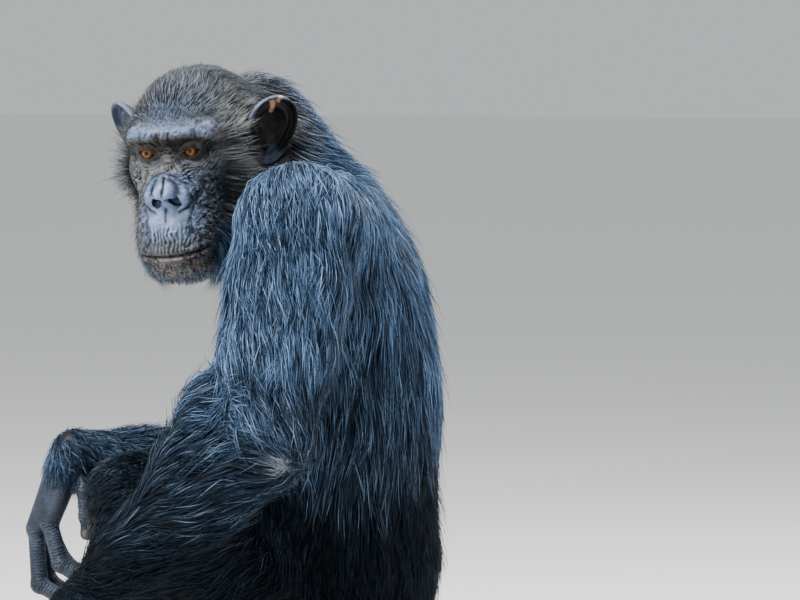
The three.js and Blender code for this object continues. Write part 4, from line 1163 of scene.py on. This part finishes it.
# for each region: length, width, lift of the tip, strands to a face of the net, breadth of a tuft
HAIR = {
    "trunk": (0.062, 0.00100, 0.0095, 1.29, 0.014),
    "neck": (0.050, 0.00092, 0.0105, 2.30, 0.012),
    "head": (0.026, 0.00062, 0.0054, 10.4, 0.007),
    "upper_arm": (0.058, 0.00095, 0.0090, 1.90, 0.013),
    "forearm": (0.052, 0.00095, 0.0095, 1.74, 0.013),
    "hand": (0.013, 0.00060, 0.0035, 3.00, 0.006),
    "thigh": (0.046, 0.00102, 0.0085, 1.25, 0.013),
    "shin": (0.038, 0.00102, 0.0080, 1.32, 0.012),
    "foot": (0.015, 0.00065, 0.0040, 3.00, 0.006),
}
# where each limb's hair lies along, from and to, and how far it droops on the way
LIMB_WAYS = {
    "upper_arm": (SHOULDER, ELBOW, (0, 0.28, 0)),
    "forearm": (WRIST, ELBOW, (0, 0, -0.40)),
    "hand": (WRIST, {side: FINGERS[side][3][1] for side in SIDES}, (0, 0, 0)),
    "thigh": (HIP, KNEE, (0, 0, -0.55)),
    "shin": (KNEE, ANKLE, (0, 0, 0)),
    "foot": (ANKLE, {side: foot_place(side)(0.1, 0, 0.01) for side in SIDES}, (0, 0, 0)),
}


def split_name(region):
    limb, _, side = region.rpartition("_")
    return (limb, side) if side in SIDES else (region, "")


def flow(region, p):
    """The way that the hair lies in one region, at each place."""
    limb, side = split_name(region)
    if region == "trunk":
        return np.stack([p[:, 0] * 2.2, 0.05 + 0 * p[:, 1], -1 + 0 * p[:, 2]], 1)
    if region == "neck":
        away = unit(p - spot(*HEAD_AT))
        return away * spot(1, 1, 0.4) + spot(0, 0.5, -0.9)
    if region == "head":
        q = in_head(p)
        round_face = np.stack([q[:, 0] * 11, 0.55 + 0 * q[:, 1], (q[:, 2] - 0.018) * 11], 1)
        back = np.stack([q[:, 0] * 4, 0.4 + 0 * q[:, 1], -1 + 0 * q[:, 2]], 1)
        chin = np.stack([q[:, 0] * 6, -0.1 + 0 * q[:, 1], -1 + 0 * q[:, 2]], 1)
        behind = ease(0.000, 0.050, q[:, 1])[:, None]
        deep = ease(-0.060, -0.100, q[:, 2])[:, None]
        way = unit(round_face) * (1 - behind) * (1 - deep) + unit(back) * behind + unit(chin) * deep
        return way @ HEAD.T
    start, end, droop = LIMB_WAYS[limb]
    return unit(spot(*end[side]) - spot(*start[side])) + spot(*droop) + 0 * p


def parting(p, places, far, near):
    """Nearness to the joints where the hair parts, which take more and more upright hair."""
    return np.max([ease(far, near, length_of(p - places[side])) for side in SIDES], axis=0)


# the roots: a few for each face of the plain net, more where the coat is fine and dense
ELBOW_TIP = spot(*ELBOW["left"]) + spot(0.040, 0.030, -0.021)
SHOULDER_TOP = spot(0.135, 0.030, 0.615)
corner = points[faces]
names = list(REGIONS)
middle = corner.mean(1)
away = np.stack([nearest(REGIONS[n], middle) for n in names], 1)
closest = away.min(1)
weight = np.exp(-(away - closest[:, None]) / 0.010)
weight /= weight.sum(1, keepdims=True)
home = away.argmin(1)
table = np.array([HAIR[split_name(n)[0]] for n in names])
more = 1 + 1.6 * parting(middle, KNEE, 0.105, 0.070) + 4.2 * parting(middle, WRIST, 0.050, 0.030)
more = more + 3 * ease(0.045, 0.030, length_of(middle - ELBOW_TIP))
copies = ((weight @ table[:, 3]) * more + chance.random(len(faces))).astype(int)
who = np.repeat(np.arange(len(faces)), copies)
u, v = chance.random((2, len(who), 1)) * 1.3 - 0.15
c = corner[who]
root = (c[:, 0] * (1 - u) + c[:, 1] * u) * (1 - v) + (c[:, 3] * (1 - u) + c[:, 2] * u) * v
bare = bareness(root)
q = in_head(root)
on_head = names.index("head")
# short stray hairs stand on the chin and the brow ridge, where the skin is bare
chin = ease(-0.082, -0.094, q[:, 2]) * (home[who] == on_head)
ridge = ease(0.030, 0.036, q[:, 2]) * (home[who] == on_head) * 0.5
keep = bare < 0.28 + 0.70 * chance.random(len(root)) ** 1.2
keep |= chance.random(len(root)) < np.maximum(chin * 0.50, ridge * 0.16)
keep &= root[:, 2] > 0.006
for side in SIDES:
    at, turn = ear_place(side)
    e = (root - at) @ turn
    keep &= (np.hypot(e[:, 1] / 0.024, e[:, 2] / 0.033) > 1) | (np.abs(e[:, 0]) > 0.03)
who, root, bare, q, chin, ridge = who[keep], root[keep], bare[keep], q[keep], chin[keep], ridge[keep]
normal = outwards(root)
root = root - normal * sampled(root)[:, None]
weights = weight[who]
of_head = weights[:, on_head]
amount = len(root)

# long whiskers on the cheeks, short hair on the forehead, and a pale tuft behind the left elbow
aside, ahead, high = np.abs(q[:, 0]), q[:, 1], q[:, 2]
whisker = of_head * ease(0.034, 0.042, aside) * ease(0.045, 0.020, high) * ease(0.020, -0.010, ahead)
fore = of_head * ease(0.036, 0.024, aside) * ease(0.080, 0.060, high) * ease(-0.030, -0.050, ahead)
elbow_tuft = ease(0.046, 0.030, length_of(root - ELBOW_TIP)) * (chance.random(amount) < 0.8)
of_left_arm = [names.index("upper_arm_left"), names.index("forearm_left")]
elbow_tuft = elbow_tuft * weights[:, of_left_arm].sum(1)
knee = parting(root, KNEE, 0.105, 0.070)
wrist = parting(root, WRIST, 0.050, 0.030)
stray = chance.random(amount) < 0.10 - 0.05 * of_head
length = (weights @ table[:, 0]) * chance.uniform(0.72, 1.22, amount)
length = length * (1 - 0.62 * bare) * (1 + 0.65 * whisker) * (1 - 0.62 * fore)
length = length * (1 - 0.55 * ridge) * (1 - 0.40 * knee)
length = length + (0.023 - length) * 0.8 * wrist
width = (weights @ table[:, 1]) * chance.uniform(0.75, 1.2, amount) * (1 - 0.25 * np.maximum(bare, fore))
lift = (weights @ table[:, 2]) * chance.uniform(0.5, 1.4, amount) * np.where(stray, 1.55, 1)
lift = lift * (1 - 0.55 * fore) * (1 + (0.9 + 1.7 * ease(-0.035, -0.010, high)) * whisker)
lift = lift * (1 + 0.6 * chin) * (1 - 0.5 * knee) * (1 - 0.45 * wrist)
lift = lift * (1 - 0.65 * ease(0.085, 0.050, length_of(root - SHOULDER_TOP)))

# tufts: strands near each other lean and end together
cell = np.floor(root / (weights @ table[:, 4])[:, None] + 0.5).astype(int)
tuft_names, tuft = np.unique((cell * (73856093, 19349663, 83492791)).sum(1), return_inverse=True)
tuft_lean = chance.normal(0, 0.13, len(tuft_names))[tuft]
own_lean = chance.normal(0, 0.08, amount) * (np.where(stray, 2.8, 1) + 5 * wrist)
lean = tuft_lean + 0.16 * swell(root, 0.045, 41) + own_lean


def lie(p, normal):
    """The way of the hair along the skin at each place, with each strand's own lean."""
    way = sum(weights[:, k:k + 1] * unit(flow(n, p)) for k, n in enumerate(names))
    way = unit(way - (way * normal).sum(1, keepdims=True) * normal)
    return unit(way + lean[:, None] * np.cross(normal, way))


# each strand takes three steps over the skin, rising as it goes: share of its length and of its lift
STEPS = ((0.30, 0.35), (0.36, 0.75), (0.34, 1.0))
ROOT_DEPTH = 0.002
spine = [root - normal * ROOT_DEPTH]
place, n = root, normal
for share, height in STEPS:
    place = place + lie(place, n) * (length * share)[:, None]
    n = outwards(place)
    gap = lift * height - sampled(place)
    place = place + n * np.where(gap > 0, gap, gap * 0.6)[:, None]
    spine.append(place)
size_of_tuft = np.bincount(tuft)[:, None]
loose = np.where(stray, 0.2, 1) * (1 - 0.6 * bare) * (1 - 0.6 * of_head)
for k, pull in ((2, 0.24), (3, 0.46)):
    gathered = np.stack([np.bincount(tuft, spine[k][:, m]) for m in range(3)], 1) / size_of_tuft
    spine[k] = spine[k] + (gathered[tuft] - spine[k]) * (pull * loose)[:, None]
for k, pull in ((1, 0.25), (2, 0.62), (3, 0.93)):
    drawn = pull * elbow_tuft * chance.uniform(0.75, 1, amount)
    spine[k] = spine[k] + (ELBOW_TIP - spine[k]) * drawn[:, None]
for k in (1, 2, 3):
    spine[k][:, 2] = np.maximum(spine[k][:, 2], 0.0025)
# no strand crosses an ear, apart from what hides the far one's lobe and the fringe before its edge
clear = np.ones(amount, bool)
for side in SIDES:
    at, turn = ear_place(side)
    for k in (1, 2, 3):
        e = (spine[k] - at) @ turn * spot(SIDES[side], 1, 1)
        over_ear = np.hypot(e[:, 1] / 0.030, (e[:, 2] + 0.003) / 0.043) < 1
        over_ear &= np.abs(e[:, 0] - 0.014) < 0.026
        hides = (e[:, 2] < 0.004) & (side == "right")
        fringe = (e[:, 1] < -0.017) & (e[:, 2] > -0.015) & (chance.random(amount) < 0.35)
        clear &= ~over_ear | hides | fringe

# each strand is dark at its root and paler at its tip, and some tufts are paler than others
STRAND_SHINE, PALE_HAIR = (0.28, 0.37, 0.49), (0.36, 0.40, 0.45)
under, over = coat_tone(root)
spread = 0.16 + 2.3 * chance.random(amount) ** 2.4 + 1.9 * tuft_lean
# painted light and shade: strands rooted on skin that faces up are paler, those on skin facing down darker;
# the palest take a painted blue shine
over = over * (np.clip(spread, 0.10, 3) * (0.42 + 0.68 * ease(-0.5, 0.6, normal[:, 2])))[:, None]
over = over_it(over, STRAND_SHINE, 0.45 * np.clip(spread - 1.4, 0, 1) * ease(0.02, 0.09, over[:, 2]))
pale = np.clip(0.65 * elbow_tuft ** 3 + 0.9 * chin * chance.random(amount), 0, 1)
over = over_it(over, PALE_HAIR, pale)


PATCH_HALF = 0.0015


def unwrapped(region, p):
    """Places on the region's own surface laid flat: round it and along it, both from nought to one."""
    limb, side = split_name(region)
    if region == "head":
        q = in_head(p) - spot(0, -0.010, -0.015)
        return np.stack([np.arctan2(q[:, 0], q[:, 1]) / (2 * math.pi) + 0.5,
                         np.arctan2(q[:, 2], np.hypot(q[:, 0], q[:, 1])) / math.pi + 0.5], 1)
    ends = {"trunk": ((0, 0.05, 0.02), (0.01, 0.03, 0.62)), "neck": ((0.01, 0.04, 0.52), HEAD_AT)}
    start, end = ends.get(region) or [LIMB_WAYS[limb][k][side] for k in (0, 1)]
    along = unit(spot(*end) - spot(*start))
    across = unit(np.cross(along, spot(0.3, 0.9, 0.2)))
    away = p - spot(*start)
    turn = np.arctan2(away @ np.cross(along, across), away @ across) / (2 * math.pi) + 0.5
    far = away @ along
    return np.stack([turn, (far - far.min() + 0.004) / (np.ptp(far) + 0.008)], 1)


def strand_mesh(name, region, chosen, short):
    """One mesh of closed tapered strands, three-sided, bent at one place or at two."""
    count = len(chosen)
    line = [p[chosen] for p in spine]
    side_way = unit(np.cross(line[3] - line[0], normal[chosen]))
    top = unit(np.cross(side_way, line[3] - line[0]))
    w = width[chosen][:, None]
    # at each bend: where it is, how wide the strand is there, and how far along it
    bends = [(line[1], 1.0, 0.30), (line[2], 0.8, 0.68)]
    if short:
        bends = [(between(line[1], line[2], 0.4), 1.0, 0.45)]
    rings, share, patch = [line[0]], [0], [(0, -1)]
    for at, wide, far in bends:
        rings += [at - side_way * w * wide / 2, at + side_way * w * wide / 2, at + top * w * wide * 0.45]
        share += [far] * 3
        patch += [(-wide, 2 * far - 1), (wide, 2 * far - 1), (0, 2 * far - 0.9)]
    rings.append(line[3])
    share.append(1)
    patch.append((0, 1))
    n = len(rings)
    a, b, c, tip = range(n - 4, n)
    tris = [(0, 2, 1), (0, 3, 2), (0, 1, 3), (a, b, tip), (b, c, tip), (c, a, tip)]
    if not short:
        for a, b in ((1, 2), (2, 3), (3, 1)):
            tris += [(a, b, b + 3), (a, b + 3, a + 3)]
    loops = (np.array(tris)[None] + n * np.arange(count)[:, None, None]).ravel().astype(np.int32)
    mesh = bpy.data.meshes.new(name)
    mesh.vertices.add(n * count)
    mesh.vertices.foreach_set("co", np.stack(rings, 1).ravel())
    mesh.loops.add(len(loops))
    mesh.loops.foreach_set("vertex_index", loops)
    mesh.polygons.add(len(loops) // 3)
    mesh.polygons.foreach_set("loop_start", np.arange(0, len(loops), 3, dtype=np.int32))
    mesh.polygons.foreach_set("use_smooth", np.ones(len(loops) // 3, bool))
    mesh.update()
    share = np.array(share)[None, :, None]
    colour = under[chosen][:, None] * (1 - share) + over[chosen][:, None] * share
    give_tint(mesh, colour.reshape(-1, 3), 1)
    flat = unwrapped(region, root[chosen])[:, None] * 0.99 + 0.005 + np.array(patch)[None] * PATCH_HALF
    flat = flat.reshape(-1, 2)[loops].astype(np.float32)
    mesh.uv_layers.new(name="OFBake").data.foreach_set("uv", flat.ravel())
    return mesh


coat_look, nodes, links, shader = new_look("coat", {
    "Roughness": 0.36,
    "Specular IOR Level": 0.22,
    "Specular Tint": (0.45, 0.70, 1.0, 1),
})
links.new(attribute("tint").outputs["Color"], shader.inputs["Base Color"])
for k, region in enumerate(names):
    short = split_name(region)[0] in ("head", "hand", "foot")
    mine = np.flatnonzero((home[who] == k) & clear)
    mine = mine[np.argsort(root[mine, 2])]
    pieces = math.ceil(len(mine) / (32000 if short else 16000))
    for number, chosen in enumerate(np.array_split(mine, pieces)):
        name = f"coat_{region}_{number + 1}"
        piece = shown(name, strand_mesh(name, region, chosen, short), coat_look)
        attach(piece, "root")

# The floor: a wide plain pale sheet, matt, on which the animal sits. It isn't part of the object.
FLOOR_HALF = 40
floor_mesh = bpy.data.meshes.new("floor")
floor_corners = [(-FLOOR_HALF, -FLOOR_HALF, 0), (FLOOR_HALF, -FLOOR_HALF, 0), (FLOOR_HALF, FLOOR_HALF, 0),
                 (-FLOOR_HALF, FLOOR_HALF, 0)]
floor_mesh.from_pydata(floor_corners, [], [(0, 1, 2, 3)])
floor_look, *rest = new_look("floor", {"Base Color": (0.90, 0.90, 0.89, 1), "Roughness": 0.9})
shown("floor", floor_mesh, floor_look)

# The camera: a long lens five metres off to the animal's left and a little behind it, which gives
# the photograph's view with the animal cut off at the shins.
CAMERA_AT = (4.568, 1.954, 0.751)
LOOKS_AT = (-0.061, 0.083, 0.489)


def turned_to(place, target):
    return (Vector(target) - Vector(place)).to_track_quat("-Z", "Y").to_euler()


camera = bpy.data.objects.new("camera", bpy.data.cameras.new("camera"))
bpy.context.scene.collection.objects.link(camera)
camera.location = CAMERA_AT
camera.rotation_euler = turned_to(CAMERA_AT, LOOKS_AT)
camera.data.lens = 225
camera.data.sensor_width = 36
bpy.context.scene.camera = camera

# The light: four square soft boxes round the animal, the strongest high in front of it, and the
# even pale light of the room. For each box: place, size in metres and power in watts.
SOFT_BOXES = {
    "key": ((1.5, -0.7, 2.8), 1.2, 240),
    "side": ((0.8, 3.2, 1.9), 1.4, 16),
    "front": ((3.17, -0.92, 1.12), 0.60, 30),
    "rim": ((-1.6, 1.2, 2.4), 1.4, 90),
}
for name, (place, size, power) in SOFT_BOXES.items():
    light = bpy.data.lights.new(name, "AREA")
    light.size = size
    light.energy = power
    lamp = bpy.data.objects.new(name, light)
    lamp.location = place
    lamp.rotation_euler = turned_to(place, (0.05, -0.05, 0.4))
    bpy.context.scene.collection.objects.link(lamp)
world = bpy.data.worlds.new("studio")
bpy.context.scene.world = world
world.use_nodes = True
world.node_tree.nodes["Background"].inputs[0].default_value = (0.86, 0.88, 0.90, 1)
world.node_tree.nodes["Background"].inputs[1].default_value = 0.66
